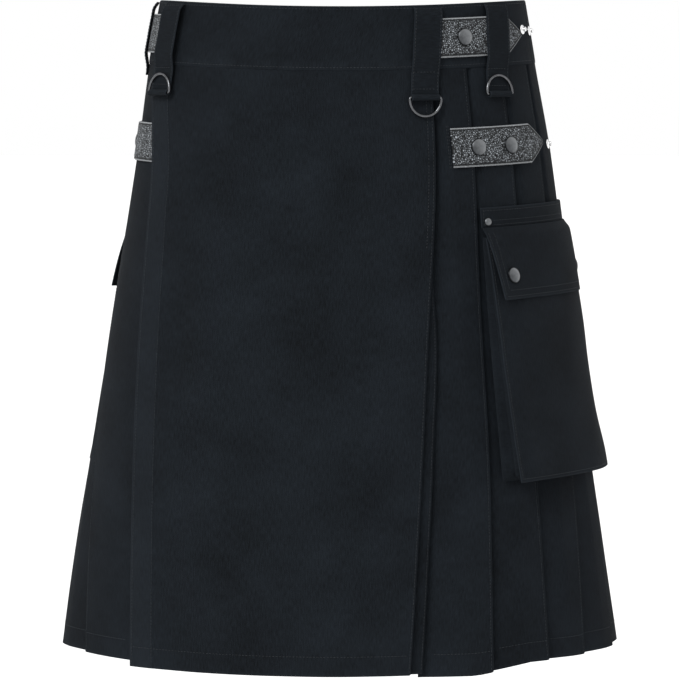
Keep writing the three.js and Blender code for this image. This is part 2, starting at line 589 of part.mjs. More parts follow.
// A ring of round wire bent to a D, lying in the plane of its bar and the way that its bow points
function dRing(name, centre, barWay, bowWay) {
  const bow = 16;
  const sides = 8;
  const straight = RING_HALF - RING_CORNER;
  const corner = (way, turn) => {
    const bar = way * (straight + RING_CORNER * Math.sin(turn * RAD));
    return [bar, RING_CORNER * (1 - Math.cos(turn * RAD))];
  };
  const path = [-1, -0.5, 0, 0.5, 1].map((share) => [straight * share, 0]);
  path.push(corner(1, 30), corner(1, 60));
  for (let i = 0; i <= bow; i++) {
    const turn = Math.PI * i / bow;
    path.push([RING_HALF * Math.cos(turn), RING_CORNER + (RING_DROP - RING_CORNER) * Math.sin(turn)]);
  }
  path.push(corner(-1, 60), corner(-1, 30));
  const across = new THREE.Vector3().crossVectors(barWay, bowWay);
  const spot = ([bar, drop]) => centre.clone().addScaledVector(barWay, bar).addScaledVector(bowWay, drop);
  const points = [];
  path.forEach((place, i) => {
    const before = spot(path[(i + path.length - 1) % path.length]);
    const after = spot(path[(i + 1) % path.length]);
    const sideways = after.sub(before).normalize().cross(across);
    for (let k = 0; k < sides; k++) {
      const turn = (k + 0.5) / sides * 2 * Math.PI;
      const point = spot(place).addScaledVector(sideways, WIRE * Math.cos(turn));
      points.push(point.addScaledVector(across, WIRE * Math.sin(turn)));
    }
  });
  const triangles = [];
  for (let i = 0; i < path.length; i++) {
    for (let k = 0; k < sides; k++) {
      const a = i * sides + k;
      const b = i * sides + (k + 1) % sides;
      const c = ((i + 1) % path.length) * sides + k;
      const d = ((i + 1) % path.length) * sides + (k + 1) % sides;
      triangles.push(a, c, b, b, c, d);
    }
  }
  model.add(solid(name, gunmetal(), points, triangles));
}

// The outline of a strip of cloth that follows a line of (down, out)
function ribbonOutline(line, thickness) {
  const faces = thicken(line.map(([down, out]) => new THREE.Vector3(down, out, 0)), false, thickness);
  return [...faces.map((f) => [f.outer.x, f.outer.y]), ...faces.reverse().map((f) => [f.inner.x, f.inner.y])];
}

// The line of a belt loop from the top edge down, as distances down and out
function loopLine(base, room, ring) {
  const sewn = base + REST + LOOP_WALL / 2;
  const free = base + BAND_PROUD + room + LOOP_WALL / 2;
  const low = base + LOOP_LIFT;
  const line = [[LOOP_TOP, sewn + BAND_PROUD], [LOOP_FREE, free], [LOOP_TURN, free]];
  if (!ring) return [...line, [LOOP_DOWN, sewn], [LOOP_END, sewn]];
  line.push([LOOP_DOWN, low], [TUNNEL_DOWN - TUNNEL_ENTRY, low]);
  for (let turn = 180; turn >= -95; turn -= 25) {
    line.push([TUNNEL_DOWN + TUNNEL * Math.sin(turn * RAD), low + TUNNEL + TUNNEL * Math.cos(turn * RAD)]);
  }
  return line;
}

// Belt loops, and the D-rings in the tunnels at the foot of the front ones
for (const { name, top, foot, room, ring } of LOOPS) {
  const onApron = top < 0 && top > -90;
  const base = onApron ? WRAP * wrapped(foot, TUNNEL_DOWN) + APRON_LOOP_REST : 0;
  const barWay = at(foot + 1, TUNNEL_DOWN).sub(at(foot - 1, TUNNEL_DOWN)).setZ(0).normalize();
  const place = (down, out, side) => {
    return at(mix(top, foot, down / TUNNEL_DOWN), down, out).addScaledVector(barWay, side * LOOP_WIDTH);
  };
  const outline = ribbonOutline(loopLine(base, room, ring), LOOP_WALL);
  model.add(strip(`loop_${name}`, canvas(), outline, place));
  if (!ring) continue;
  const barOut = base + LOOP_LIFT + TUNNEL;
  const centre = place(TUNNEL_DOWN, barOut, 0);
  const up = place(TUNNEL_DOWN - 10, barOut, 0).sub(centre);
  up.addScaledVector(barWay, -up.dot(barWay)).normalize();
  dRing(`d_ring_${name}`, centre, barWay, ring === 'up' ? up : new THREE.Vector3(0, 0, -1));
}

export default model;
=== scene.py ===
"""A gothic kilt: black canvas with knife pleats, a flat apron, a waistband with belt loops and D-rings,
leather straps with snaps, and two bellows pockets, in the hollow shape in which it is worn.

Sizes are millimetres here and become metres in the meshes. A place on the garment is an angle round the
body (0 at the front, 90 at the wearer's left), a distance down from the top edge, and a distance out
from the skirt's outer face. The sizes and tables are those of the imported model.
"""
import math

import bpy
import numpy as np
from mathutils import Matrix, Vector


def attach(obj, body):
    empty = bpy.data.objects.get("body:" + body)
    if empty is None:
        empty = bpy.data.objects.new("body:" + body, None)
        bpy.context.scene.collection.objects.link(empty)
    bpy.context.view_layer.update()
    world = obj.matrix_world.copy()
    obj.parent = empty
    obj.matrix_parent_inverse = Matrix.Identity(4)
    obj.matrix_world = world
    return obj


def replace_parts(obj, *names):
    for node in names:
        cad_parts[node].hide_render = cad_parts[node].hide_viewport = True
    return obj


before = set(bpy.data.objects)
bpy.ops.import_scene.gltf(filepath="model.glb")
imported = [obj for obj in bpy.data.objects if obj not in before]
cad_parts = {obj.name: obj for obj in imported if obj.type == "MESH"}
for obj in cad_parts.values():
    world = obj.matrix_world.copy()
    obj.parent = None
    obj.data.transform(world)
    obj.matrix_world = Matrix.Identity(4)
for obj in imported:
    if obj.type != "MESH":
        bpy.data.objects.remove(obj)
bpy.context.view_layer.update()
MM = 0.001

# Camera: four metres in front, level with the waist, turned a little down to the middle of the kilt
CAMERA_PLACE = (-0.002, -4.0, -0.016)
CAMERA_TILT = 3.82             # degrees down from level
CAMERA_LENS = 224.9            # on a 36 mm sensor
FLOOR_HEIGHT = -1.05           # the floor on which the wearer would stand


def make_camera():
    data = bpy.data.cameras.new("camera")
    data.lens = CAMERA_LENS
    data.sensor_width = 36.0
    camera = bpy.data.objects.new("camera", data)
    camera.location = CAMERA_PLACE
    camera.rotation_euler = (math.radians(90 - CAMERA_TILT), 0, 0)
    bpy.context.collection.objects.link(camera)
    bpy.context.scene.camera = camera


make_camera()

# Driving sizes
RIM = 29
SIDE_RISE = 7
BAND = 58
BAND_WALL = 3
BAND_PROUD = 1
SEAM = 0.3
REST = 0.35
APRON_HEM = 607
PLEAT_HEM = 603
WRAP = 6.9
CENTRE_BACK = 152
FACING = 24
CANVAS = 0.95                  # thickness of the cloth
HEM = 18                       # depth of the turned-up hems
HEM_EXTRA = 0.5                # extra thickness of a hem or facing
UNDER_END = 20
BAND_LEFT_SEAM = 78
BAND_RIGHT_SEAM = -64

SECTIONS = {
    "down": [0, 60, 150, 300, 450, 608],
    "half": [170.8, 181.2, 195.5, 217.5, 241, 265],
    "front": [118, 122, 130, 143, 157, 171],
    "back": [118, 124, 138, 160, 183, 207],
    "shift": [0.5, 0.2, 2, -0.5, -1.5, -2.5],
}
HEM_DROP = 8                   # how much lower the first pleat beside the lap hangs
HEM_DROP_FROM = 28
HEM_DROP_TO = 42
HEM_DROP_START = 500
FOLDS = {
    "down": [0, 58, 150, 222, 310, 400, 500, 608],
    "free": [-66.5, -69.0, -62.3, -59.6, -56.6, -53.2, -49.3, -45.5],
    "lap": [27.0, 26.7, 25.3, 23.6, 21.2, 18.9, 16.5, 14.1],
    "second": [26.8, 26.5, 25.1, 23.5, 23.9, 21.8, 19.4, 16.9],
    "left1": [39.3, 39.0, 37.8, 37.0, 36.4, 35.7, 34.0, 32.2],
    "left2": [54.5, 54.0, 53.0, 52.2, 51.2, 50.0, 48.6, 47.2],
    "left3": [71.5, 71.0, 69.7, 68.8, 67.3, 66.0, 63.2, 59.7],
    "right1": [-101, -100, -95.5, -91.5, -86.3, -79.8, -71.0, -63.6],
}
PLEATS = {
    "down": [58, 222, 400, 608],
    "step": [1.9, 2.3, 2.9, 3.7],
    "share": [0.8, 0.65, 0.45, 0.3],
    "sink": [0.1, 0.3, 0.7, 1.2],
}
LAP_TUCK = {"down": [58, 222, 608], "tuck": [8, 10, 22]}
LEFT_PLEATS = 9
RIGHT_PLEATS = 11
PLEATS_A_PIECE = 3

POUCH = {
    "down": [205, 222, 250, 305, 370, 436],
    "front": [5.0, 9.0, 13.5, 17.5, 21.0, 26.0],
    "middle": [5.0, 6.7, 8.5, 10.0, 10.0, 12.0],
    "back": [5.0, 6.2, 7.2, 8.5, 7.5, 12.0],
}
POCKET_WIDTH = 180
POCKET_TOP = 187
POCKET_SEAM = 205
POUCH_TOP = 214
POUCH_FOOT = 436
FLAP_FOOT = 270
POCKET_WALL = 1.3
GUSSET_WALL = 1.6
POCKET_BACK = 2.3
POCKET_BAND = 2.6
POCKET_INSET = 6
BELLOWS = 0.32
FLAP_START = 3.3
FLAP_RISE = 2.1
FLARE_WIDTH = 60
FLARE_BEND = 0.7
FLAP_INSET = 6
POCKETS = [
    {"word": "left", "front": 38.3, "turn": 1, "swell": 1, "flare": 8},
    {"word": "right", "front": -106.5, "turn": -1, "swell": 0.52, "flare": 9},
]

LOOP_WIDTH = 26
LOOP_WALL = 1.3
TUNNEL = 2.3
TUNNEL_DOWN = 83.5
TUNNEL_ENTRY = 2.5
LOOP_LIFT = 2.3
LOOP_TOP = 1.5
LOOP_FREE = 7
LOOP_TURN = 49
LOOP_DOWN = 62
LOOP_END = 69
APRON_LOOP_REST = 0.5
LOOPS = [
    {"name": "centre", "top": 26.8, "foot": 23.6, "room": 3.6, "ring": "hanging"},
    {"name": "left", "top": 54.2, "foot": 50.0, "room": 3.6, "ring": "up"},
    {"name": "right", "top": -59.6, "foot": -60.6, "room": 4.6, "ring": "up"},
    {"name": "side_right", "top": -91, "foot": -91, "room": 3.4, "ring": None},
    {"name": "back_left", "top": 127, "foot": 127, "room": 4.6, "ring": None},
    {"name": "back_right", "top": -178, "foot": -178, "room": 4.6, "ring": None},
]
WIRE = 1.25
RING_HALF = 15
RING_DROP = 17.2
RING_CORNER = 1.8

STRAP_HEIGHT = 35
STRAP_WALL = 2.5
STRAP_POINT = 23
STRAP_TIP = 3
STRAPS = [
    {"name": "waist_left", "from": 27.5, "to": 68, "down": 30.2, "base": BAND_PROUD},
    {"name": "waist_right", "from": -66, "to": -118, "down": 30.2, "base": BAND_PROUD},
    {"name": "hip_left", "from": 30.8, "to": 71.9, "down": 130.6, "base": 0},
    {"name": "hip_right", "from": -61, "to": -120, "down": 130.6, "base": 0},
]
STRAP_TOP = REST + STRAP_WALL + SEAM
FASTENERS = [
    ("snap_waist_left", 38.8, 30, BAND_PROUD + STRAP_TOP),
    ("snap_waist_right", -104.5, 30.2, BAND_PROUD + STRAP_TOP),
    ("snap_hip_left_1", 39.3, 130.8, STRAP_TOP),
    ("snap_hip_left_2", 52, 130.8, STRAP_TOP),
    ("snap_hip_right_1", -97.5, 130.6, STRAP_TOP),
    ("snap_hip_right_2", -108, 130.6, STRAP_TOP),
    ("stud_waist_1", 71, 26.4, BAND_PROUD + SEAM),
    ("stud_waist_2", 79.5, 28, BAND_PROUD + SEAM),
    ("stud_hip", 79.5, 133.5, REST),
]
# Outlines of the small metal pieces: radius and height of each point, from the middle of the face
SNAP = [(0, 3.1), (1.3, 3.07), (2.6, 2.95), (3.8, 2.68), (5.0, 2.3), (5.9, 1.86), (6.6, 1.4), (7.1, 0.95),
        (7.38, 0.5), (7.4, 0.25), (7.3, 0), (0, 0)]
STRAP_SNAP = [(0, 3.1), (1.4, 3.07), (2.8, 2.95), (4.1, 2.68), (5.4, 2.3), (6.35, 1.86), (7.1, 1.4),
              (7.65, 0.95), (7.97, 0.5), (8.0, 0.25), (7.9, 0), (0, 0)]
RIVET = [(0, 1.7), (1.2, 1.66), (2.2, 1.45), (3.0, 1.1), (3.6, 0.6), (3.8, 0.25), (3.75, 0), (0, 0)]
STUD = [(0, 4.2), (1.0, 4.15), (1.7, 3.95), (2.15, 3.5), (2.2, 3.1), (1.9, 2.6), (1.8, 1.5), (2.3, 1.1),
        (4.0, 0.9), (4.4, 0.5), (4.4, 0), (0, 0)]
RIVET_IN = 6
RIVET_DOWN = 199.5
FLAP_SNAP_IN = 20
FLAP_SNAP_DOWN = 248.5
FLAP_SNAP_GAP = 0.8


# Places on the garment

def smooth(table, column, down):
    """A column of a table at a height, on a smooth curve through its rows."""
    x = np.asarray(table["down"], float)
    y = np.asarray(table[column], float)
    low = np.maximum(np.arange(len(x)) - 1, 0)
    high = np.minimum(np.arange(len(x)) + 1, len(x) - 1)
    slope = (y[high] - y[low]) / (x[high] - x[low])
    down = np.asarray(down, float)
    k = np.clip(np.searchsorted(x, down, side="left") - 1, 0, len(x) - 2)
    span = x[k + 1] - x[k]
    t = (down - x[k]) / span
    ease = t * t * (3 - 2 * t)
    bend = slope[k] * t * (1 - t) ** 2 - slope[k + 1] * t * t * (1 - t)
    return y[k] + (y[k + 1] - y[k]) * ease + span * bend


def at(angle, down, out=0.0):
    """The point at an angle, a distance down and a distance out."""
    angle, down, out = np.broadcast_arrays(*(np.asarray(v, float) for v in (angle, down, out)))
    turn = np.radians(angle)
    half = smooth(SECTIONS, "half", down)
    depth = np.where(np.cos(turn) >= 0, smooth(SECTIONS, "front", down), smooth(SECTIONS, "back", down))
    nx = depth * np.sin(turn)
    ny = -half * np.cos(turn)
    size = np.hypot(nx, ny)
    x = smooth(SECTIONS, "shift", down) + half * np.sin(turn) + out * nx / size
    y = -depth * np.cos(turn) + out * ny / size
    return np.stack([x, y, RIM - down + SIDE_RISE * np.sin(turn) ** 2], axis=-1)


def reach(angle, down):
    """Millimetres of cloth for each degree of turn."""
    return np.linalg.norm(at(angle + 0.5, down) - at(angle - 0.5, down), axis=-1)


def along(angle, distance, down, steps=12):
    """The angle reached by going round the body from one angle for a number of millimetres."""
    place = np.asarray(angle, float) + 0 * np.asarray(down, float)
    for _ in range(steps):
        half = place + distance / steps / reach(place, down) / 2
        place = place + distance / steps / reach(half, down)
    return place


def arc(start, end, down, steps=24):
    total = 0
    for i in range(steps):
        total = total + reach(start + (end - start) * (i + 0.5) / steps, down)
    return total * np.abs(end - start) / steps


def wrapped(angle, down):
    """How far the wrap has gone at an angle: 0 at the lap and 1 at the apron's free edge."""
    return np.clip((5 - angle) / (5 - smooth(FOLDS, "free", down)), 0, 1)


def wobble(x, seed):
    """A smooth, uneven wave between about -1 and 1, the same at every run."""
    phase = np.random.default_rng(seed).uniform(0, 2 * math.pi, 4)
    x = np.asarray(x, float)
    return (0.45 * np.sin(x + phase[0]) + 0.3 * np.sin(1.73 * x + phase[1])
            + 0.25 * np.sin(2.91 * x + phase[2]) + 0.15 * np.sin(4.7 * x + phase[3]))


# Meshes

class Pile:
    """Points, faces, weave places and wear that become one mesh."""

    def __init__(self):
        self.points, self.faces, self.places, self.wear_and_painted_light = [], [], [], []
        self.count = 0

    def add(self, points, faces, places=None, wear_and_painted_light=None):
        points = np.asarray(points, float).reshape(-1, 3)
        size = len(points)
        self.points.append(points)
        self.faces.extend([tuple(int(v) + self.count for v in face) for face in faces])
        places = np.zeros((size, 2)) if places is None else places
        self.places.append(np.asarray(places, float).reshape(-1, 2))
        self.wear_and_painted_light.append(np.zeros(size) if wear_and_painted_light is None else np.asarray(wear_and_painted_light, float).reshape(-1))
        self.count += size

    def build(self, name, material, body="kilt", slot="canvas"):
        name = f"{name}_{slot}"
        mesh = bpy.data.meshes.new(name)
        mesh.from_pydata((np.concatenate(self.points) * MM).tolist(), [], self.faces)
        places = np.concatenate(self.places) * MM
        corner = np.empty(len(mesh.loops), dtype=np.int32)
        mesh.loops.foreach_get("vertex_index", corner)
        mesh.uv_layers.new(name="cloth").data.foreach_set("uv", places[corner].astype(np.float32).ravel())
        wear_and_painted_light = mesh.attributes.new("wear_and_painted_light", "FLOAT", "POINT")
        wear_and_painted_light.data.foreach_set("value", np.concatenate(self.wear_and_painted_light).astype(np.float32))
        mesh.polygons.foreach_set("use_smooth", [True] * len(mesh.polygons))
        mesh.materials.append(material)
        mesh.validate()
        piece = bpy.data.objects.new(name, mesh)
        bpy.context.collection.objects.link(piece)
        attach(piece, body)
        return piece


def unit(vectors):
    return vectors / np.maximum(np.linalg.norm(vectors, axis=-1, keepdims=True), 1e-9)


class Sheet:
    """Cloth on a grid of points, with its thickness and the distance along it for the weave."""

    def __init__(self, points, facing, thickness, outward=None):
        self.middle = points
        side = np.gradient(points, axis=0)
        fall = np.gradient(points, axis=1)
        normal = unit(np.cross(side, fall))
        column, row = facing
        if outward is None:
            outward = points[column, row] * [1, 1, 0]
        if np.dot(normal[column, row], outward) < 0:
            normal = -normal
        self.normal = normal
        self.thickness = np.zeros(points.shape[:2]) + thickness
        self.wear_and_painted_light = np.zeros(points.shape[:2])
        self.rim_wear = 0.7
        steps = np.linalg.norm(np.diff(points, axis=0), axis=-1)
        self.across = np.vstack([np.zeros(points.shape[1]), np.cumsum(steps, axis=0)])
        falls = np.linalg.norm(np.diff(points, axis=1), axis=-1)
        self.fallen = np.hstack([np.zeros((points.shape[0], 1)), np.cumsum(falls, axis=1)])

    def push(self, amount):
        """Move the cloth out by an amount at each point."""
        self.middle = self.middle + self.normal * np.asarray(amount)[..., None]

    def thicken(self, extra):
        """Make the cloth thicker towards the inside."""
        self.thickness = self.thickness + extra
        self.middle = self.middle - self.normal * (np.asarray(extra) / 2)[..., None]

    def shell(self, pile):
        middle, normal = self.middle, self.normal
        columns, rows = middle.shape[:2]
        half = self.thickness[..., None] / 2
        index = np.arange(columns * rows).reshape(columns, rows)
        rim = np.concatenate([index[:, 0], index[-1, 1:], index[-2::-1, -1], index[0, -2:0:-1]])
        away = np.zeros_like(middle)
        away[0] += unit(middle[0] - middle[1])
        away[-1] += unit(middle[-1] - middle[-2])
        away[:, 0] += unit(middle[:, 0] - middle[:, 1])
        away[:, -1] += unit(middle[:, -1] - middle[:, -2])
        lip = (middle + away * half * 0.7).reshape(-1, 3)[rim]
        points = np.concatenate([(middle + normal * half).reshape(-1, 3),
                                 (middle - normal * half).reshape(-1, 3), lip])
        total = columns * rows
        a, b = index[:-1, :-1].ravel(), index[1:, :-1].ravel()
        c, d = index[1:, 1:].ravel(), index[:-1, 1:].ravel()
        outer = np.stack([a, b, c, d], axis=1)
        inner = np.stack([a, d, c, b], axis=1) + total
        now, later = np.arange(len(rim)), np.roll(np.arange(len(rim)), -1)
        first = np.stack([rim[later], rim[now], 2 * total + now, 2 * total + later], axis=1)
        second = np.stack([2 * total + later, 2 * total + now, total + rim[now], total + rim[later]], axis=1)
        faces = np.concatenate([outer, inner, first, second])
        turned = np.einsum("ij,ij->i", np.cross(points[faces[:, 1]] - points[faces[:, 0]],
                                                points[faces[:, 2]] - points[faces[:, 0]]),
                           points[faces[:, 0]]).sum() < 0
        if turned:
            faces = faces[:, ::-1]
        places = np.stack([self.across, self.fallen], axis=-1).reshape(-1, 2)
        wear_and_painted_light = np.broadcast_to(self.wear_and_painted_light, (columns, rows)).ravel()
        pile.add(points, faces, np.concatenate([places, places, places[rim]]),
                 np.concatenate([wear_and_painted_light, wear_and_painted_light, np.maximum(wear_and_painted_light[rim], self.rim_wear)]))

    def piece(self, name, material, **kind):
        pile = Pile()
        self.shell(pile)
        return pile.build(name, material, **kind)

    def spot(self, column, row):
        """Point and normal of the outer face at places between the grid's points."""
        i = np.clip(column, 0, self.middle.shape[0] - 1.001)
        j = np.clip(row, 0, self.middle.shape[1] - 1.001)
        i0, j0 = np.floor(i).astype(int), np.floor(j).astype(int)
        u, v = (i - i0)[..., None], (j - j0)[..., None]
        outer = self.middle + self.normal * self.thickness[..., None] / 2

        def mixed(grid):
            return ((1 - u) * (1 - v) * grid[i0, j0] + u * (1 - v) * grid[i0 + 1, j0]
                    + (1 - u) * v * grid[i0, j0 + 1] + u * v * grid[i0 + 1, j0 + 1])
        return mixed(outer), unit(mixed(self.normal))

    def column_at(self, column, distance, row):
        """The column a distance along the cloth from another column, at a row."""
        row = int(round(row))
        line = self.across[:, row]
        return np.interp(line[column] + distance, line, np.arange(len(line)))

    def down_line(self, column, distance, low, high):
        """A line down the cloth, a distance from a column, as points and normals."""
        rows = np.linspace(low, high, max(2, int(high - low) + 1))
        columns = np.array([self.column_at(column, distance, row) for row in rows])
        return self.spot(columns, rows)

    def across_line(self, row, low, high):
        """A line across the cloth at a row, between two columns."""
        columns = np.linspace(low, high, max(2, int(4 * abs(high - low)) + 1))
        return self.spot(columns, np.full(len(columns), float(row)))


STITCH_PITCH = 3.1
STITCH_LENGTH = 2.35
STITCH_WIDTH = 0.5
STITCH_HEIGHT = 0.3
# Corners of a stitch: shares of its half length, half width and height. Then its faces.
STITCH_CORNERS = [(-1, 0, -0.15), (-0.6, -1, -0.05), (-0.6, 0, 1), (-0.6, 1, -0.05),
                  (0.6, -1, -0.05), (0.6, 0, 1), (0.6, 1, -0.05), (1, 0, -0.15)]
STITCH_FACES = [(0, 1, 2), (0, 2, 3), (0, 3, 1), (1, 4, 5, 2), (2, 5, 6, 3), (3, 6, 4, 1),
                (7, 5, 4), (7, 6, 5), (7, 4, 6)]
stitch_dice = np.random.default_rng(7)


def sew(pile, line):
    """Lay a row of stitches along a line of points and normals."""
    points, normals = line
    steps = np.linalg.norm(np.diff(points, axis=0), axis=1)
    length = np.concatenate([[0], np.cumsum(steps)])
    count = int(length[-1] / STITCH_PITCH)
    if count < 1:
        return
    middles = (np.arange(count) + 0.5) * STITCH_PITCH + stitch_dice.normal(0, 0.08, count)

    def along_line(values, where):
        return np.stack([np.interp(where, length, values[:, k]) for k in range(3)], axis=1)
    centre = along_line(points, middles)
    ahead = unit(along_line(points, middles + 0.8) - along_line(points, middles - 0.8))
    normal = unit(along_line(normals, middles))
    side = unit(np.cross(ahead, normal))
    ahead = unit(ahead + side * stitch_dice.normal(0, 0.035, count)[:, None])
    half = STITCH_LENGTH / 2
    corners = []
    for where, across, height in STITCH_CORNERS:
        corners.append(centre + ahead * half * where + side * across * STITCH_WIDTH / 2
                       + normal * height * STITCH_HEIGHT)
    block = np.stack(corners, axis=1)
    faces = [tuple(8 * k + v for v in face) for k in range(count) for face in STITCH_FACES]
    pile.add(block.reshape(-1, 3), faces)


class Path:
    """A line of cloth seen from above at each row, as angles and distances out, with named columns."""

    def __init__(self, down):
        self.down = down
        self.points = []
        self.mark = {}

    def add(self, angle, out, name=None):
        self.points.append((angle + 0 * self.down, out + 0 * self.down))
        if name:
            self.mark[name] = len(self.points) - 1

    def run(self, angle, out, count, name=None):
        """Go on to a place in a number of points."""
        start_angle, start_out = self.points[-1]
        for i in range(1, count + 1):
            t = i / count
            self.add(start_angle + (angle - start_angle) * t, start_out + (out - start_out) * t)
        if name:
            self.mark[name] = len(self.points) - 1

    def fold(self, edge, first, second, way, name=None, count=5):
        """Turn round at an edge, from one layer to another."""
        radius = np.abs(first - second) / 2
        for i in range(count):
            turn = math.pi * (0.5 - i / (count - 1))
            self.add(edge + way * radius * (math.cos(turn) - 1) / reach(edge, self.down),
                     (first + second) / 2 + (first - second) / 2 * math.sin(turn))
            if name and i == count // 2:
                self.mark[name] = len(self.points) - 1

    def sheet(self, facing_column, thickness=CANVAS, drop=None):
        angle = np.stack([p[0] for p in self.points])
        out = np.stack([p[1] for p in self.points])
        down = np.broadcast_to(self.down, angle.shape)
        if drop:
            down = down + drop(angle, down)
        sheet = Sheet(at(angle, down, out - thickness / 2), (facing_column, 0), thickness)
        sheet.angle, sheet.down, sheet.mark = angle, down, self.mark
        return sheet


# Materials

BLACK, WHITE = (0, 0, 0), (1, 1, 1)


def grey(value):
    return (value, value, value)


def scaled(colour, factor, extra=0.0):
    """A colour made lighter or darker, no brighter than white."""
    return tuple(min(1.0, value * factor + extra) for value in colour)


def material(name, colour, roughness, metallic=0.0, specular=0.5):
    mat = bpy.data.materials.new(name)
    mat.use_nodes = True
    shader = mat.node_tree.nodes["Principled BSDF"]
    shader.inputs["Base Color"].default_value = (*colour, 1)
    shader.inputs["Roughness"].default_value = roughness
    shader.inputs["Metallic"].default_value = metallic
    shader.inputs["Specular IOR Level"].default_value = specular
    return mat, shader


class Nodes:
    """Short ways to make shader nodes and join them."""

    def __init__(self, mat):
        self.tree = mat.node_tree

    def make(self, kind, **values):
        node = self.tree.nodes.new(f"ShaderNode{kind}")
        for key, value in values.items():
            if key in node.inputs.keys():
                node.inputs[key].default_value = value
            else:
                setattr(node, key, value)
        return node

    def link(self, output, target):
        self.tree.links.new(output, target)

    def join(self, value, socket):
        """Give a socket another node's output, a colour or a number."""
        if hasattr(value, "links"):
            self.link(value, socket)
        elif isinstance(value, tuple):
            socket.default_value = (*value, 1)
        else:
            socket.default_value = value

    def placed(self, kind, place, **values):
        """A texture or mapping that reads a place."""
        node = self.make(kind, **values)
        self.link(place, node.inputs["Vector"])
        return node

    def noise(self, place, scale, detail, roughness=0.5):
        return self.placed("TexNoise", place, Scale=scale, Detail=detail, Roughness=roughness).outputs["Fac"]

    def cloth_place(self):
        return self.make("UVMap", uv_map="cloth").outputs["UV"]

    def object_place(self):
        return self.make("TexCoord").outputs["Object"]

    def wear_and_painted_light(self):
        return self.make("Attribute", attribute_name="wear_and_painted_light").outputs["Fac"]

    def math(self, operation, first, second):
        node = self.make("Math", operation=operation)
        self.join(first, node.inputs[0])
        self.join(second, node.inputs[1])
        return node.outputs[0]

    def ramp(self, source, stops):
        node = self.make("ValToRGB")
        for position, _ in stops[2:]:
            node.color_ramp.elements.new(position)
        for element, (position, colour) in zip(node.color_ramp.elements, stops):
            element.position = position
            element.color = (*colour, 1)
        self.link(source, node.inputs["Fac"])
        return node.outputs["Color"]

    def mix(self, factor, first, second):
        node = self.make("Mix", data_type="RGBA")
        self.join(factor, node.inputs["Factor"])
        self.join(first, node.inputs["A"])
        self.join(second, node.inputs["B"])
        return node.outputs["Result"]

    def bump(self, shader, height, strength, distance):
        node = self.make("Bump", Strength=strength, Distance=distance)
        self.link(height, node.inputs["Height"])
        self.link(node.outputs["Normal"], shader.inputs["Normal"])


WEAVE_THREAD = 0.00085         # metres from one thread of the canvas to the next
CANVAS_COLOUR = (0.0049, 0.0066, 0.0087)
LEATHER_GRAIN = 540.0          # pebbles in a metre of leather


def canvas_material():
    """Black cotton canvas: a plain weave, slubs, faint cloudiness and paler worn edges; the same paler
    colour also paints a highlight on the apron's facing.
    """
    mat, shader = material("canvas", CANVAS_COLOUR, 0.9, specular=0.09)
    n = Nodes(mat)
    place = n.cloth_place()
    threads = [n.placed("TexWave", place, wave_type="BANDS", bands_direction=direction,
                        Scale=0.1 / WEAVE_THREAD * math.pi, Distortion=0.6, Detail=1.0).outputs["Fac"]
               for direction in ("X", "Y")]
    over = n.placed("TexChecker", place, Scale=1 / WEAVE_THREAD).outputs["Fac"]
    weave = n.math("ADD", n.math("MULTIPLY", threads[0], over),
                   n.math("MULTIPLY", threads[1], n.math("SUBTRACT", 1.0, over)))
    stretch = n.placed("Mapping", place, Scale=(900, 140, 1))
    slub = n.noise(stretch.outputs["Vector"], 1.0, 3.0, 0.6)
    cloud = n.noise(place, 14.0, 4.0, 0.55)
    mixed = n.math("ADD", n.math("MULTIPLY", slub, 0.55), n.math("MULTIPLY", cloud, 0.45))
    tint = n.ramp(mixed, [(0.3, scaled(CANVAS_COLOUR, 0.38)), (0.7, scaled(CANVAS_COLOUR, 1.75))])
    # Paler where the wear attribute is high: worn edges, and the painted highlight on the apron's facing
    rub_and_painted_light = n.math("MULTIPLY", n.wear_and_painted_light(), n.math("ADD", 0.35, n.math("MULTIPLY", slub, 0.9)))
    n.link(n.mix(rub_and_painted_light, tint, scaled(CANVAS_COLOUR, 2.2, 0.003)), shader.inputs["Base Color"])
    n.bump(shader, n.math("ADD", weave, n.math("MULTIPLY", slub, 0.8)), 0.55, 0.00025)
    return mat


def thread_material():
    """Thread, a little paler and glossier than the cloth."""
    mat, shader = material("thread", (0.012, 0.014, 0.017), 0.6, specular=0.2)
    n = Nodes(mat)
    twist = n.noise(n.object_place(), 900.0, 2.0)
    tint = n.ramp(twist, [(0.3, (0.009, 0.010, 0.012)), (0.75, (0.034, 0.038, 0.042))])
    n.link(tint, shader.inputs["Base Color"])
    return mat


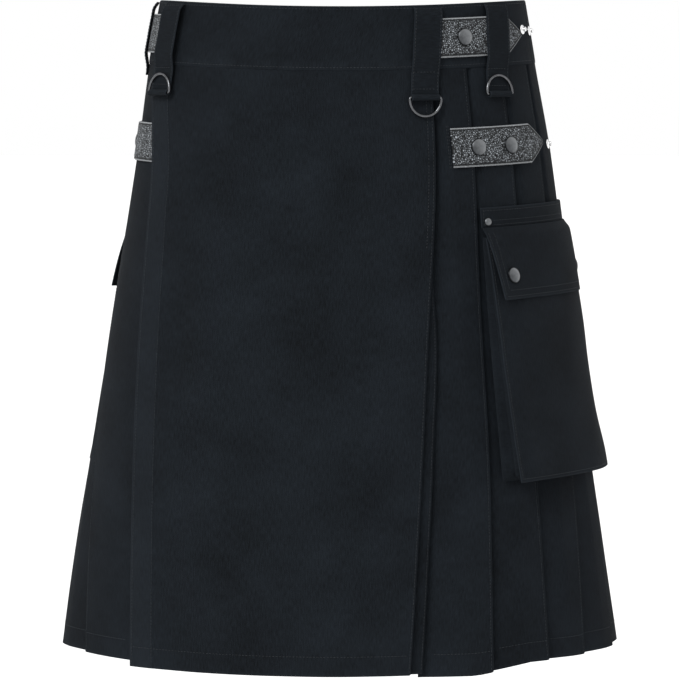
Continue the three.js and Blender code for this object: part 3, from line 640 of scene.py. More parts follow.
def leather_material():
    """Pebbled black leather: painted shade in the grooves between small raised grains, and painted
    highlights on their glossy tops.
    """
    mat, shader = material("leather", (0.05, 0.055, 0.06), 0.45, specular=0.25)
    n = Nodes(mat)
    place = n.cloth_place()
    bend = n.placed("TexNoise", place, Scale=420.0, Detail=2.0)
    moved = n.make("VectorMath", operation="SCALE", Scale=0.0012)
    n.link(bend.outputs["Color"], moved.inputs[0])
    bent = n.make("VectorMath", operation="ADD")
    n.link(place, bent.inputs[0])
    n.link(moved.outputs[0], bent.inputs[1])
    cells, grooves = [n.placed("TexVoronoi", bent.outputs[0], feature=feature, Scale=LEATHER_GRAIN,
                               Randomness=1.0) for feature in ("F1", "DISTANCE_TO_EDGE")]
    # Painted shade and highlight: the grooves between the pebbles are made nearly black and the pebble tops
    # pale, as light falls on them; the same pattern also shapes the bump and the gloss
    top = n.ramp(grooves.outputs["Distance"], [(0.06, BLACK), (0.3, WHITE)])
    grain = n.ramp(cells.outputs["Color"], [(0.2, grey(0.4)), (0.8, WHITE)])
    pebble_relief_and_painted_light = n.math("MULTIPLY", top, grain)
    tint = n.ramp(pebble_relief_and_painted_light, [(0.12, (0.004, 0.0045, 0.005)), (0.8, (0.25, 0.272, 0.294))])
    # On a strap the attribute read here is the distance to its edge in centimetres
    edge = n.wear_and_painted_light()
    rubbed = n.mix(n.ramp(edge, [(0.05, grey(0.8)), (0.09, BLACK)]), tint, (0.24, 0.25, 0.26))
    pressed = n.ramp(edge, [(0.08, BLACK), (0.12, WHITE), (0.2, WHITE), (0.24, BLACK)])
    n.link(n.mix(pressed, rubbed, (0.005, 0.006, 0.007)), shader.inputs["Base Color"])
    height = n.math("ADD", pebble_relief_and_painted_light, n.math("MULTIPLY", n.noise(place, 2600.0, 3.0), 0.15))
    n.bump(shader, n.math("SUBTRACT", height, pressed), 1.0, 0.0006)
    n.link(n.ramp(pebble_relief_and_painted_light, [(0.1, grey(0.75)), (0.9, grey(0.34))]), shader.inputs["Roughness"])
    return mat


def metal_material(name, colour, roughness, scratch):
    """Plated metal with fine scratches and slightly uneven gloss."""
    mat, shader = material(name, colour, roughness, metallic=1.0)
    n = Nodes(mat)
    place = n.object_place()
    patch = n.noise(place, 260.0, 4.0, 0.65)
    tint = n.ramp(patch, [(0.3, scaled(colour, 0.75)), (0.7, scaled(colour, 1.25))])
    gloss = n.ramp(patch, [(0.3, scaled(grey(roughness), 0.75)), (0.75, scaled(grey(roughness), 1.3))])
    n.link(tint, shader.inputs["Base Color"])
    n.link(gloss, shader.inputs["Roughness"])
    n.bump(shader, n.noise(place, 1800.0, 3.0), scratch, 0.0001)
    return mat


def cap_material():
    """Dark plated snap cap: painted light makes it paler towards one side, and a painted shadow makes it
    dark round its rim.
    """
    mat, shader = material("gunmetal_cap", (0.12, 0.125, 0.13), 0.32, metallic=1.0)
    n = Nodes(mat)
    place = n.cloth_place()
    parts = n.placed("SeparateXYZ", place)
    # Painted light: the face is made paler towards one side, as if lit from there, with random patches over
    # it
    painted_light_slope = n.math("ADD", n.math("MULTIPLY", parts.outputs["X"], 42.0),
                  n.math("MULTIPLY", parts.outputs["Y"], 30.0))
    patch = n.math("MULTIPLY", n.noise(place, 330.0, 4.0, 0.65), 0.5)
    shade = n.math("ADD", n.math("ADD", painted_light_slope, 0.25), patch)
    face = n.ramp(shade, [(0.1, (0.045, 0.048, 0.052)), (0.9, (0.24, 0.25, 0.26))])
    # On a cap the attribute read here is the distance from its middle as a share of its radius; beyond 0.86
    # of it the colour turns dark, a painted shadow round the rim
    rim = n.ramp(n.wear_and_painted_light(), [(0.86, BLACK), (0.94, WHITE)])
    n.link(n.mix(rim, face, (0.012, 0.013, 0.014)), shader.inputs["Base Color"])
    n.bump(shader, n.noise(place, 1800.0, 3.0), 0.2, 0.0001)
    return mat


CANVAS_LOOK = canvas_material()
THREAD_LOOK = thread_material()
LEATHER_LOOK = leather_material()
CAP_LOOK = cap_material()
RING_LOOK = metal_material("gunmetal_ring", (0.105, 0.108, 0.114), 0.22, scratch=0.12)
STEEL_LOOK = metal_material("bright_steel", (0.8, 0.8, 0.8), 0.18, scratch=0.04)


# Shared by the pieces of cloth

def row_at(lines, down):
    """The row of a sheet at a distance down."""
    return float(np.interp(down, lines, np.arange(len(lines))))


def declare(piece, node):
    """Hide the imported node that a cloth piece stands for."""
    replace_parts(piece, node)


def declare_skirt(sheet, node):
    """Make a piece of the skirt and hide the imported node that it stands for."""
    declare(sheet.piece(node, CANVAS_LOOK), node)


# Waistband


BAND_LINES = np.concatenate([[0, 0.6, 1.6, 3], np.linspace(6, BAND - 6, 15),
                             [BAND - 3, BAND - 1.5, BAND - 0.6, BAND]])
BAND_SEAM_TURN = 0.12          # degrees between two lengths of the band
BAND_STITCHES = (2.2, BAND - 2.6)


def band_piece(name, first, last, columns, outer_face, stitches):
    down = BAND_LINES
    path = Path(down)
    for i in range(columns + 1):
        angle = first + (last - first) * i / columns
        path.add(angle, outer_face(angle, down))
    sheet = path.sheet(columns // 2, thickness=BAND_WALL - 0.4)
    round_off = 0.7 * (np.exp(-down / 1.2) + np.exp(-(BAND - down) / 1.2))
    ripple = 0.16 * wobble(sheet.angle * 0.7, 31) * np.exp(-((sheet.down - BAND + 5) / 9) ** 2)
    ripple = ripple + 0.3 * wobble(sheet.angle * 0.11 + sheet.down * 0.02, 32) - 0.3
    sheet.push(ripple)
    sheet.thickness = sheet.thickness - round_off
    # Painted highlights: paler dashes along the lower stitch line stand in for light catching on puckers;
    # the paler top edge is wear
    painted_pucker_light = np.clip(0.5 + 0.6 * wobble(sheet.angle * 0.9, 33), 0, 1)
    painted_pucker_light = painted_pucker_light * np.exp(-((BAND - 3 - sheet.down) / 3.5) ** 2)
    sheet.wear_and_painted_light = 0.3 * painted_pucker_light + 0.12 * np.exp(-(sheet.down / 1.2) ** 2)
    for distance in BAND_STITCHES:
        sew(stitches, sheet.across_line(row_at(down, distance), 0.3, columns - 0.3))
    declare(sheet.piece(name, CANVAS_LOOK), name)


def make_waistband():
    stitches = Pile()
    band_piece("waistband_front", smooth(FOLDS, "free", BAND_LINES), BAND_LEFT_SEAM, 110,
               lambda angle, down: BAND_PROUD + WRAP * wrapped(angle, down), stitches)
    band_piece("waistband_back", BAND_LEFT_SEAM + BAND_SEAM_TURN, 360 + BAND_RIGHT_SEAM, 150,
               lambda angle, down: BAND_PROUD, stitches)
    band_piece("waistband_under", BAND_RIGHT_SEAM + BAND_SEAM_TURN, UNDER_END, 60,
               lambda angle, down: BAND_PROUD - WRAP * (1 - wrapped(angle, down)), stitches)
    stitches.build("stitches_waistband", THREAD_LOOK)


make_waistband()

# Creases in the apron: angle and distance down of the middle, lean of the line from level, half length,
# half width and height, where a trough is below 0
APRON_CREASES = [
    (-38, 92, -8, 60, 8, -2.1), (-30, 104, -12, 70, 8, 1.5), (-42, 150, -14, 45, 8, -1.8),
    (-36, 163, -18, 50, 8, 1.3), (-15, 84, -6, 45, 8, -1.2), (2, 96, 4, 40, 9, 0.9),
    (-25, 205, -35, 60, 13, -1.2), (-44, 230, -60, 70, 12, 1.1), (-40, 330, -80, 120, 14, -1.3),
    (-30, 420, -84, 150, 20, 1.4), (-14, 380, -86, 160, 26, -1.2), (0, 470, -88, 130, 26, 1.3),
    (9, 400, 88, 120, 16, -1.1), (-22, 520, -86, 90, 22, -1.2), (12, 140, 70, 60, 12, 0.8),
    (15, 200, 80, 70, 10, -0.8), (-8, 160, 40, 60, 18, 0.7), (-46, 520, -80, 90, 14, 1.2),
    (-6, 560, -84, 60, 18, -1.0),
]
SKIRT_ROWS = 74
TUCKED_UP = 5                  # how far the skirt goes up into the waistband
HEM_STITCH = 0.6               # from the top of the turned-up hem down to its stitches
EDGE_STITCH = 2.6              # from a fold to the stitches along it
LAP_CLOSED = 222               # how far down the lap is sewn on the folds behind it


def creased(sheet, creases):
    amount = 0 * sheet.angle
    for angle, down, lean, long, wide, height in creases:
        side = (sheet.angle - angle) * 3.1
        fall = sheet.down - down
        turn = math.radians(lean)
        line = side * math.cos(turn) - fall * math.sin(turn)
        over = side * math.sin(turn) + fall * math.cos(turn)
        amount = amount + height * np.exp(-(line / long) ** 2 - (over / wide) ** 2)
    return amount


def skirt_downs(hem, rows=SKIRT_ROWS):
    body = np.linspace(BAND - TUCKED_UP, hem - HEM - 4, rows)
    return np.concatenate([body, [hem - HEM - 1.5, hem - HEM, hem - HEM + 1.5, hem - 12, hem - 6,
                                  hem - 2.5, hem - 1, hem]])


def hem_extra(down, hem):
    return HEM_EXTRA * np.clip((down - (hem - HEM - 1)) / 2, 0, 1)


def make_apron():
    down = skirt_downs(APRON_HEM)
    path = Path(down)
    free = smooth(FOLDS, "free", down)
    lap = smooth(FOLDS, "lap", down)
    second = smooth(FOLDS, "second", down)
    step = smooth(PLEATS, "step", down)
    tuck = smooth(LAP_TUCK, "tuck", down)
    for distance in (0, 0.5, 1.5, 3, 4.5, 7, 11, 16, 20, FACING - 2, FACING - 0.8, FACING,
                     FACING + 0.8, FACING + 2.5):
        angle = along(free, distance, down, steps=3)
        path.add(angle, WRAP * wrapped(angle, down), f"free {distance}")
    start = path.points[-1][0]
    columns = 84
    near_lap = lap - 3.2 / reach(lap, down)
    for i in range(1, columns + 1):
        angle = start + (near_lap - start) * i / columns
        path.add(angle, WRAP * wrapped(angle, down))
    radius = step / 2
    path.run(lap - radius / reach(lap, down), 0 * down, 3)
    path.fold(lap, 0 * down, -step, 1, "lap", 7)
    path.run(along(lap, -tuck + radius, down, 4), -step, 4)
    path.fold(along(lap, -tuck, down, 4), -step, -2 * step, -1, None, 5)
    path.run(second - radius / reach(second, down), -2 * step, 5)
    path.fold(second, -2 * step, -3 * step, 1, "second", 7)
    path.run(along(second, -tuck + radius, down, 4), -3 * step, 4)
    path.fold(along(second, -tuck, down, 4), -3 * step, -4 * step, -1, None, 5)
    path.run(along(second, -3.15, down, 3), -4 * step, 3)
    sheet = path.sheet(40)
    lap_column = sheet.mark["lap"]
    flat = np.clip((np.arange(len(path.points)) - sheet.mark["free 0"]) / 6, 0, 1)
    flat = flat * np.clip((lap_column - 3 - np.arange(len(path.points))) / 8, 0, 1)
    low = np.clip((sheet.down - 70) / 120, 0, 1)
    swell = creased(sheet, APRON_CREASES) * flat[:, None]
    swell = swell + low * flat[:, None] * 0.9 * wobble(sheet.angle * 0.09 + sheet.down * 0.004, 41)
    edge_line = sheet.across - sheet.across[sheet.mark[f"free {FACING}"]][None, :]
    swell = swell + 0.22 * wobble(sheet.down * 0.33, 42) * np.exp(-(edge_line / 7) ** 2)
    lap_line = sheet.across - sheet.across[lap_column - 6][None, :]
    near_lap = np.exp(-(lap_line / 6) ** 2) * (np.arange(len(path.points)) < lap_column)[:, None]
    swell = swell + 0.2 * wobble(sheet.down * 0.3, 43) * near_lap
    hem_wave = np.clip((sheet.down - 480) / 127, 0, 1) ** 2 * 1.8 * wobble(sheet.angle * 0.16, 44)
    hem_wave = hem_wave * flat[:, None]
    hem_line = sheet.down - (APRON_HEM - HEM)
    groove = -0.28 * np.exp(-(edge_line / 0.9) ** 2) - 0.2 * np.exp(-(hem_line / 1.2) ** 2) * flat[:, None]
    sheet.push(swell + hem_wave + groove)
    facing = np.clip((FACING + 0.5 - sheet.across) / 1.0, 0, 1) * 0.75
    sheet.thicken(np.maximum(hem_extra(sheet.down, APRON_HEM), facing))
    columns_all = np.arange(len(path.points))[:, None]
    sheet.wear_and_painted_light = 0.5 * np.exp(-(sheet.across / 1.0) ** 2)
    sheet.wear_and_painted_light = sheet.wear_and_painted_light + 0.45 * np.exp(-((columns_all - lap_column) / 1.5) ** 2)
    sheet.wear_and_painted_light = sheet.wear_and_painted_light + 0.25 * np.exp(-((sheet.down - APRON_HEM) / 1.5) ** 2)
    # Painted highlight: the whole facing strip along the free edge is made a little paler, as light falls on
    # its curve
    sheet.wear_and_painted_light = sheet.wear_and_painted_light + 0.28 * np.clip((FACING + 0.5 - sheet.across) / 1.0, 0, 1)
    declare_skirt(sheet, "apron")
    stitches = Pile()
    rows = len(down) - 1
    free_column = sheet.mark["free 0"]
    sew(stitches, sheet.down_line(free_column, 2.4, 0.3, rows - 0.3))
    sew(stitches, sheet.down_line(free_column, FACING - 0.6, 0.3, rows - 0.3))
    closed = row_at(down, LAP_CLOSED)
    sew(stitches, sheet.down_line(lap_column, -EDGE_STITCH, 0.3, rows - 0.3))
    sew(stitches, sheet.down_line(lap_column, -7.2, 0.3, closed))
    hem_row = row_at(down, APRON_HEM - HEM + HEM_STITCH)
    sew(stitches, sheet.across_line(hem_row, free_column + 3, lap_column - 3))
    sew(stitches, sheet.down_line(sheet.mark["second"], -EDGE_STITCH, closed, rows - 0.3))
    stitches.build("stitches_apron", THREAD_LOOK)


make_apron()


def make_under_apron():
    down = skirt_downs(PLEAT_HEM, 40)
    path = Path(down)
    start = along(smooth(FOLDS, "free", down), 12, down, 3)
    end = along(smooth(FOLDS, "lap", down), -smooth(LAP_TUCK, "tuck", down) - 12, down, 4)
    for i in range(49):
        angle = start + (end - start) * i / 48
        path.add(angle, -WRAP * (1 - wrapped(angle, down)))
    sheet = path.sheet(20)
    sheet.push(-0.6 + 0.6 * wobble(sheet.angle * 0.12 + sheet.down * 0.006, 51))
    sheet.thicken(hem_extra(sheet.down, PLEAT_HEM))
    declare_skirt(sheet, "under_apron")
    stitches = Pile()
    hem_row = row_at(down, PLEAT_HEM - HEM + HEM_STITCH)
    sew(stitches, sheet.across_line(hem_row, 1, 47))
    stitches.build("stitches_under_apron", THREAD_LOOK)


make_under_apron()


# Pleats

def fold_angles(side, down):
    """Angles of all the folds of one side, from the first to the one at the back seam."""
    given = ["left1", "left2", "left3"] if side > 0 else ["right1"]
    angles = [smooth(FOLDS, column, down) for column in given]
    count = LEFT_PLEATS if side > 0 else RIGHT_PLEATS
    back = CENTRE_BACK if side > 0 else CENTRE_BACK - 360
    width = (arc(angles[-1], back, down) - 2) / (count - len(angles))
    while len(angles) < count:
        angles.append(along(angles[-1], side * width, down, 8))
    return angles


def pleat_path(side, first, last, down):
    angles = fold_angles(side, down)
    step = smooth(PLEATS, "step", down)
    share = smooth(PLEATS, "share", down)
    sink = smooth(PLEATS, "sink", down)
    radius = step / 2
    path = Path(down)

    def go(angle, distance):
        return along(angle, side * distance, down, 5)

    def under(k):
        start = angles[k - 1] if k > 0 else go(angles[0], -34)
        return share * arc(start, angles[k], down, 10)
    if first > 0:
        path.add(go(angles[first - 1], -under(first - 1)), -2 * step)
    elif side > 0:
        path.add(go(smooth(FOLDS, "second", down), -2.85), -4 * step)
    else:
        path.add(go(smooth(FOLDS, "free", down), -11.7), 0 * down)
    for k in range(first, last + 1):
        edge = angles[k]
        if k > 0:
            start, depth, rise = angles[k - 1], 2 * step, sink
        else:
            start = smooth(FOLDS, "second" if side > 0 else "free", down)
            depth, rise = (4 * step, sink) if side > 0 else (0 * step, 0 * sink)
        tucked = under(k)
        path.run(go(start, 1.6), -depth, 3, f"start {k}")
        path.run(go(edge, -tucked - 2), -rise, 6)
        path.run(go(edge, -6), -rise * 0.15, 5)
        path.run(edge - side * radius / reach(edge, down), 0 * down, 4)
        path.fold(edge, 0 * down, -step, side, f"fold {k}", 7)
        inner = go(edge, -tucked)
        path.run(inner + side * radius / reach(inner, down), -step, 4)
        if k < last or last == len(angles) - 1:
            path.fold(inner, -step, -2 * step, -side, None, 5)
    if last == len(angles) - 1:
        back = CENTRE_BACK if side > 0 else CENTRE_BACK - 360
        path.run(back - side * 0.15 / reach(back, down), -2 * step, 4)
    return path


def hem_drop(angle, down):
    """How much lower the cloth hangs beside the lap."""
    near = np.clip((HEM_DROP_TO - np.abs(angle)) / (HEM_DROP_TO - HEM_DROP_FROM), 0, 1)
    return HEM_DROP * near * np.clip((down - HEM_DROP_START) / (PLEAT_HEM - HEM_DROP_START), 0, 1) ** 2


def make_pleats(word, side, count):
    stitches = Pile()
    for first in range(0, count, PLEATS_A_PIECE):
        last = min(first + PLEATS_A_PIECE, count) - 1
        down = skirt_downs(PLEAT_HEM, 56)
        path = pleat_path(side, first, last, down)
        sheet = path.sheet(path.mark[f"start {first}"] + 5, drop=hem_drop)
        rows_down = np.broadcast_to(down, sheet.angle.shape)
        columns = np.arange(len(path.points))[:, None]
        low = np.clip((sheet.down - 120) / 480, 0, 1)
        sway = 0 * sheet.angle
        for k in range(first, last + 1):
            start, fold = sheet.mark[f"start {k}"], sheet.mark[f"fold {k}"]
            face = np.clip((columns - start) / 4, 0, 1) * np.clip((fold - columns) / 4, 0, 1)
            seed = 100 + 20 * side + k
            bulge = 0.5 * low + 0.5 * low * wobble(sheet.down * 0.011, seed)
            sway = sway - face * 1.6 * bulge
            edge_gap = sheet.across[fold][None, :] - sheet.across
            ripple = 0.16 * wobble(sheet.down * 0.34, seed + 50) * np.exp(-((edge_gap - 4) / 5) ** 2)
            sway = sway + np.where(columns <= fold, ripple - 0.1 * np.exp(-((edge_gap - 2.6) / 0.9) ** 2), 0)
        sheet.push(sway)
        sheet.thicken(hem_extra(rows_down, PLEAT_HEM))
        wear_and_painted_light = 0 * sheet.angle
        for k in range(first, last + 1):
            wear_and_painted_light = wear_and_painted_light + 0.45 * np.exp(-((columns - sheet.mark[f"fold {k}"]) / 1.5) ** 2)
        sheet.wear_and_painted_light = wear_and_painted_light + 0.25 * np.exp(-((rows_down - PLEAT_HEM) / 1.5) ** 2)
        declare_skirt(sheet, f"pleats_{word}_{first // PLEATS_A_PIECE + 1}")
        rows = len(down) - 1
        hem_row = row_at(down, PLEAT_HEM - HEM + HEM_STITCH)
        for k in range(first, last + 1):
            fold = sheet.mark[f"fold {k}"]
            sew(stitches, sheet.down_line(fold, -EDGE_STITCH - math.pi / 4, 0.3, rows - 0.3))
            sew(stitches, sheet.across_line(hem_row, sheet.mark[f"start {k}"] + 1, fold - 4))
    stitches.build(f"stitches_pleats_{word}", THREAD_LOOK)


make_pleats("left", 1, LEFT_PLEATS)
make_pleats("right", -1, RIGHT_PLEATS)


# Pockets

def pouch_out(pocket, inward, down):
    """How far a pocket's front face stands out, a distance in from its front side."""
    inward, down = np.broadcast_arrays(np.asarray(inward, float), np.asarray(down, float))
    half = POCKET_WIDTH / 2
    from_middle = np.minimum(1, np.abs(inward - half) / half)
    end = np.where(inward < half, smooth(POUCH, "front", down), smooth(POUCH, "back", down))
    middle = smooth(POUCH, "middle", down)
    full = middle + (end - middle) * from_middle ** 2
    return POUCH["middle"][0] + (full - POUCH["middle"][0]) * pocket["swell"]


def flap_out(pocket, inward, down):
    """The flap comes out from under the band, lies over the pouch and stands off near the front side."""
    lower = np.clip((down - POUCH_TOP) / (FLAP_FOOT - POUCH_TOP), 0, 1)
    near_front = np.clip(1 - inward / FLARE_WIDTH, 0, 1)
    over = pouch_out(pocket, inward, np.maximum(down, POUCH_TOP)) + FLAP_RISE
    over = over + pocket["flare"] * lower ** FLARE_BEND * near_front ** 2
    t = np.clip((down - POCKET_SEAM) / (POUCH_TOP - POCKET_SEAM), 0, 1)
    return FLAP_START + (over - FLAP_START) * (t * t * (3 - 2 * t)) ** 0.8


def pocket_point(pocket, inward, down, out):
    return at(along(pocket["front"], pocket["turn"] * inward, down), down, out)


def pocket_sheet(pocket, inward, down, out, thickness, column=None):
    """Cloth on a pocket from grids of distance in, distance down and distance out."""
    points = pocket_point(pocket, inward, down, out)
    middle = inward.shape[0] // 2
    if column is None:
        sheet = Sheet(points, (middle, 0), thickness)
    else:
        away = pocket_point(pocket, inward - 1, down, out) - points
        sheet = Sheet(points, (column, 4), thickness, outward=away[column, 4])
    sheet.inward, sheet.down = inward, down
    return sheet


ACROSS_POCKET = np.concatenate([[0, 0.8, 2, 4], np.linspace(8, POCKET_WIDTH - 8, 44),
                                [POCKET_WIDTH - 4, POCKET_WIDTH - 2, POCKET_WIDTH - 0.8, POCKET_WIDTH]])
POUCH_LINES = np.concatenate([[POUCH_TOP, POUCH_TOP + 0.8, POUCH_TOP + 2],
                              np.linspace(POUCH_TOP + 5, POUCH_FOOT - 8, 36),
                              [POUCH_FOOT - 4, POUCH_FOOT - 1.5, POUCH_FOOT]])


def pocket_inset(down):
    return POCKET_INSET * (down - POUCH_TOP) / (POUCH_FOOT - POUCH_TOP)


def make_pocket_band(pocket, stitches, seed):
    name = f"pocket_{pocket['word']}_band"
    lines = np.concatenate([[POCKET_TOP, POCKET_TOP + 0.8, POCKET_TOP + 2],
                            np.linspace(POCKET_TOP + 4, POCKET_SEAM - 4, 6),
                            [POCKET_SEAM - 2, POCKET_SEAM - 0.9, POCKET_SEAM - SEAM]])
    inward, down = np.meshgrid(ACROSS_POCKET, lines, indexing="ij")
    band = pocket_sheet(pocket, inward, down, np.full(inward.shape, (POCKET_BAND + REST) / 2), 2.0)
    band.push(0.14 * wobble(inward * 0.2, seed))
    band.wear_and_painted_light = 0.3 * np.exp(-((down - POCKET_TOP) / 1.0) ** 2)
    declare(band.piece(name, CANVAS_LOOK), name)
    last = len(ACROSS_POCKET) - 1
    for distance in (2.4, POCKET_SEAM - POCKET_TOP - 6.5, POCKET_SEAM - POCKET_TOP - 2.4):
        sew(stitches, band.across_line(row_at(lines, POCKET_TOP + distance), 2.2, last - 2.2))
    for column, distance in ((0, 2.2), (last, -2.2)):
        sew(stitches, band.down_line(column, distance, 1, len(lines) - 2))


def make_flap(pocket, stitches, seed):
    name = f"pocket_{pocket['word']}_flap"
    lines = np.concatenate([np.linspace(POCKET_SEAM, POUCH_TOP, 7),
                            np.linspace(POUCH_TOP + 3, FLAP_FOOT - 5, 15),
                            [FLAP_FOOT - 3, FLAP_FOOT - 1.5, FLAP_FOOT - 0.6, FLAP_FOOT]])
    share, down = np.meshgrid(ACROSS_POCKET / POCKET_WIDTH, lines, indexing="ij")
    inset = FLAP_INSET * (down - POCKET_SEAM) / (FLAP_FOOT - POCKET_SEAM)
    inward = inset + (POCKET_WIDTH - 2 * inset) * share
    flap = pocket_sheet(pocket, inward, down, flap_out(pocket, inward, down), POCKET_WALL)
    lower = np.clip((down - POUCH_TOP) / (FLAP_FOOT - POUCH_TOP), 0, 1)
    corner = np.exp(-(np.minimum(inward, POCKET_WIDTH - inward) / 22) ** 2)
    wave = lower * (0.5 * wobble(inward * 0.06, seed + 1) + 0.2 + 1.1 * corner * lower)
    for snap_at in (FLAP_SNAP_IN, POCKET_WIDTH - FLAP_SNAP_IN):
        wave = wave - 0.4 * np.exp(-((inward - snap_at) ** 2 + (down - FLAP_SNAP_DOWN) ** 2) / 120)
    flap.push(wave)
    edge = np.minimum(np.minimum(inward - inset, POCKET_WIDTH - inset - inward), FLAP_FOOT - down)
    flap.push(-0.22 * np.exp(-((edge - 2.5) / 0.8) ** 2))
    flap.wear_and_painted_light = 0.45 * np.exp(-(edge / 1.2) ** 2) * (down > POUCH_TOP)
    declare(flap.piece(name, CANVAS_LOOK), name)
    last = len(ACROSS_POCKET) - 1
    bottom = row_at(lines, FLAP_FOOT - 2.5)
    inner_bottom = row_at(lines, FLAP_FOOT - 8)
    sew(stitches, flap.across_line(bottom, 2.4, last - 2.4))
    sew(stitches, flap.across_line(inner_bottom, 4.2, last - 4.2))
    for column, distance, end in ((0, 2.5, bottom), (last, -2.5, bottom),
                                  (0, 8, inner_bottom), (last, -8, inner_bottom)):
        sew(stitches, flap.down_line(column, distance, 3, end))


def make_pouch_back(pocket):
    name = f"pocket_{pocket['word']}_back"
    inward, down = np.meshgrid(np.linspace(0, POCKET_WIDTH, 30), POUCH_LINES, indexing="ij")
    back = pocket_sheet(pocket, inward, down, np.full(inward.shape, float(POCKET_BACK)), 1.1)
    declare(back.piece(name, CANVAS_LOOK), name)


def make_pouch_front(pocket, stitches, seed):
    name = f"pocket_{pocket['word']}_front"
    share, down = np.meshgrid(ACROSS_POCKET / POCKET_WIDTH, POUCH_LINES, indexing="ij")
    inset = pocket_inset(down)
    inward = inset + (POCKET_WIDTH - 2 * inset) * share
    face = pocket_sheet(pocket, inward, down, pouch_out(pocket, inward, down), 1.2)
    edge = np.minimum(inward - inset, POCKET_WIDTH - inset - inward)
    inside = np.clip((edge - 4) / 14, 0, 1)
    sag = np.clip((down - 300) / 136, 0, 1)
    ripple = 0.8 * wobble(inward * 0.035 + down * 0.006, seed + 5) + 0.5 * wobble(down * 0.025, seed + 6)
    ripple = ripple + 1.8 * sag ** 2 * np.exp(-((down - 418) / 24) ** 2)
    face.push(ripple * inside + 0.35 * wobble(down * 0.09, seed + 7) * np.exp(-(edge / 5) ** 2))
    from_edge = np.minimum(edge, POUCH_FOOT - down)
    face.push(-0.22 * np.exp(-((from_edge - 2.5) / 0.8) ** 2))
    face.wear_and_painted_light = 0.5 * np.exp(-(from_edge / 1.1) ** 2)
    declare(face.piece(name, CANVAS_LOOK), name)
    last = len(ACROSS_POCKET) - 1
    rows = len(POUCH_LINES)
    for column, distance in ((0, 2.5), (last, -2.5)):
        sew(stitches, face.down_line(column, distance, 1, rows - 2))
    sew(stitches, face.across_line(row_at(POUCH_LINES, POUCH_FOOT - 2.6), 2.5, last - 2.5))


# How far in the bellows strip is folded, from its edge at the back panel to the one at the front panel
BELLOWS_FOLD = [(0, 0), (0.08, 0.4), (0.18, 0.85), (0.3, 1.0), (0.42, 0.82), (0.5, 0.6), (0.58, 0.56),
                (0.68, 0.78), (0.79, 0.95), (0.89, 0.55), (1, 0)]


def make_gusset(pocket, seed):
    """The bellows: a strip folded in along its length that runs down one side, along the foot and up."""
    name = f"pocket_{pocket['word']}_gusset"
    side_lines = np.concatenate([POUCH_LINES[:3], np.linspace(POUCH_TOP + 5, POUCH_FOOT - 13, 36)])
    foot_share = np.linspace(15, POCKET_WIDTH - 15, 28) / POCKET_WIDTH
    still, gone = 0 * side_lines, 0 * foot_share
    share = np.concatenate([still, [0], foot_share, [1], still + 1])
    lines = np.concatenate([side_lines, [POUCH_FOOT], gone + POUCH_FOOT, [POUCH_FOOT], side_lines[::-1]])
    way = np.concatenate([still + 1, [1], gone, [-1], still - 1])
    up = np.concatenate([still, [1], gone + 1, [1], still])
    front_edge = pocket_inset(lines) + (POCKET_WIDTH - 2 * pocket_inset(lines)) * share
    back_out = POCKET_BACK + POCKET_WALL / 2 + SEAM
    front_out = pouch_out(pocket, front_edge + way * GUSSET_WALL / 2, lines) - POCKET_WALL / 2 - SEAM
    uneven = 1 + 0.2 * wobble(np.arange(len(share)) * 0.16, seed + 3)
    inward, down, out = [], [], []
    for across, inside in BELLOWS_FOLD:
        fold = GUSSET_WALL / 2 + BELLOWS * (front_out - back_out) * inside * uneven
        inward.append(POCKET_WIDTH * share + (front_edge - POCKET_WIDTH * share) * across + way * fold)
        down.append(lines - up * fold)
        out.append(back_out + (front_out - back_out) * across)
    inward, down, out = [np.stack(lines, axis=1) for lines in (inward, down, out)]
    strip = pocket_sheet(pocket, inward, down, out, 1.2, column=12)
    ends = np.array([inside for _, inside in BELLOWS_FOLD])
    strip.wear_and_painted_light = 0.3 * np.exp(-((ends[None, :] - 0.56) / 0.05) ** 2) * np.ones((len(share), 1))
    declare(strip.piece(name, CANVAS_LOOK), name)


def make_pocket(pocket):
    stitches = Pile()
    seed = 200 + pocket["turn"]
    make_pocket_band(pocket, stitches, seed)
    make_flap(pocket, stitches, seed)
    make_pouch_back(pocket)
    make_gusset(pocket, seed)
    make_pouch_front(pocket, stitches, seed)
    stitches.build(f"stitches_pocket_{pocket['word']}", THREAD_LOOK)


for each_pocket in POCKETS:
    make_pocket(each_pocket)


# Metal pieces

TURNED_SIDES = 40


def outward_of(sheet):
    """The way straight out of the cloth at the middle of a piece."""
    side = sheet(2, 0) - sheet(-2, 0)
    fall = sheet(0, 2) - sheet(0, -2)
    outward = unit(np.cross(side, fall))
    middle = sheet(0, 0)
    return -outward if outward[0] * middle[0] + outward[1] * middle[1] < 0 else outward


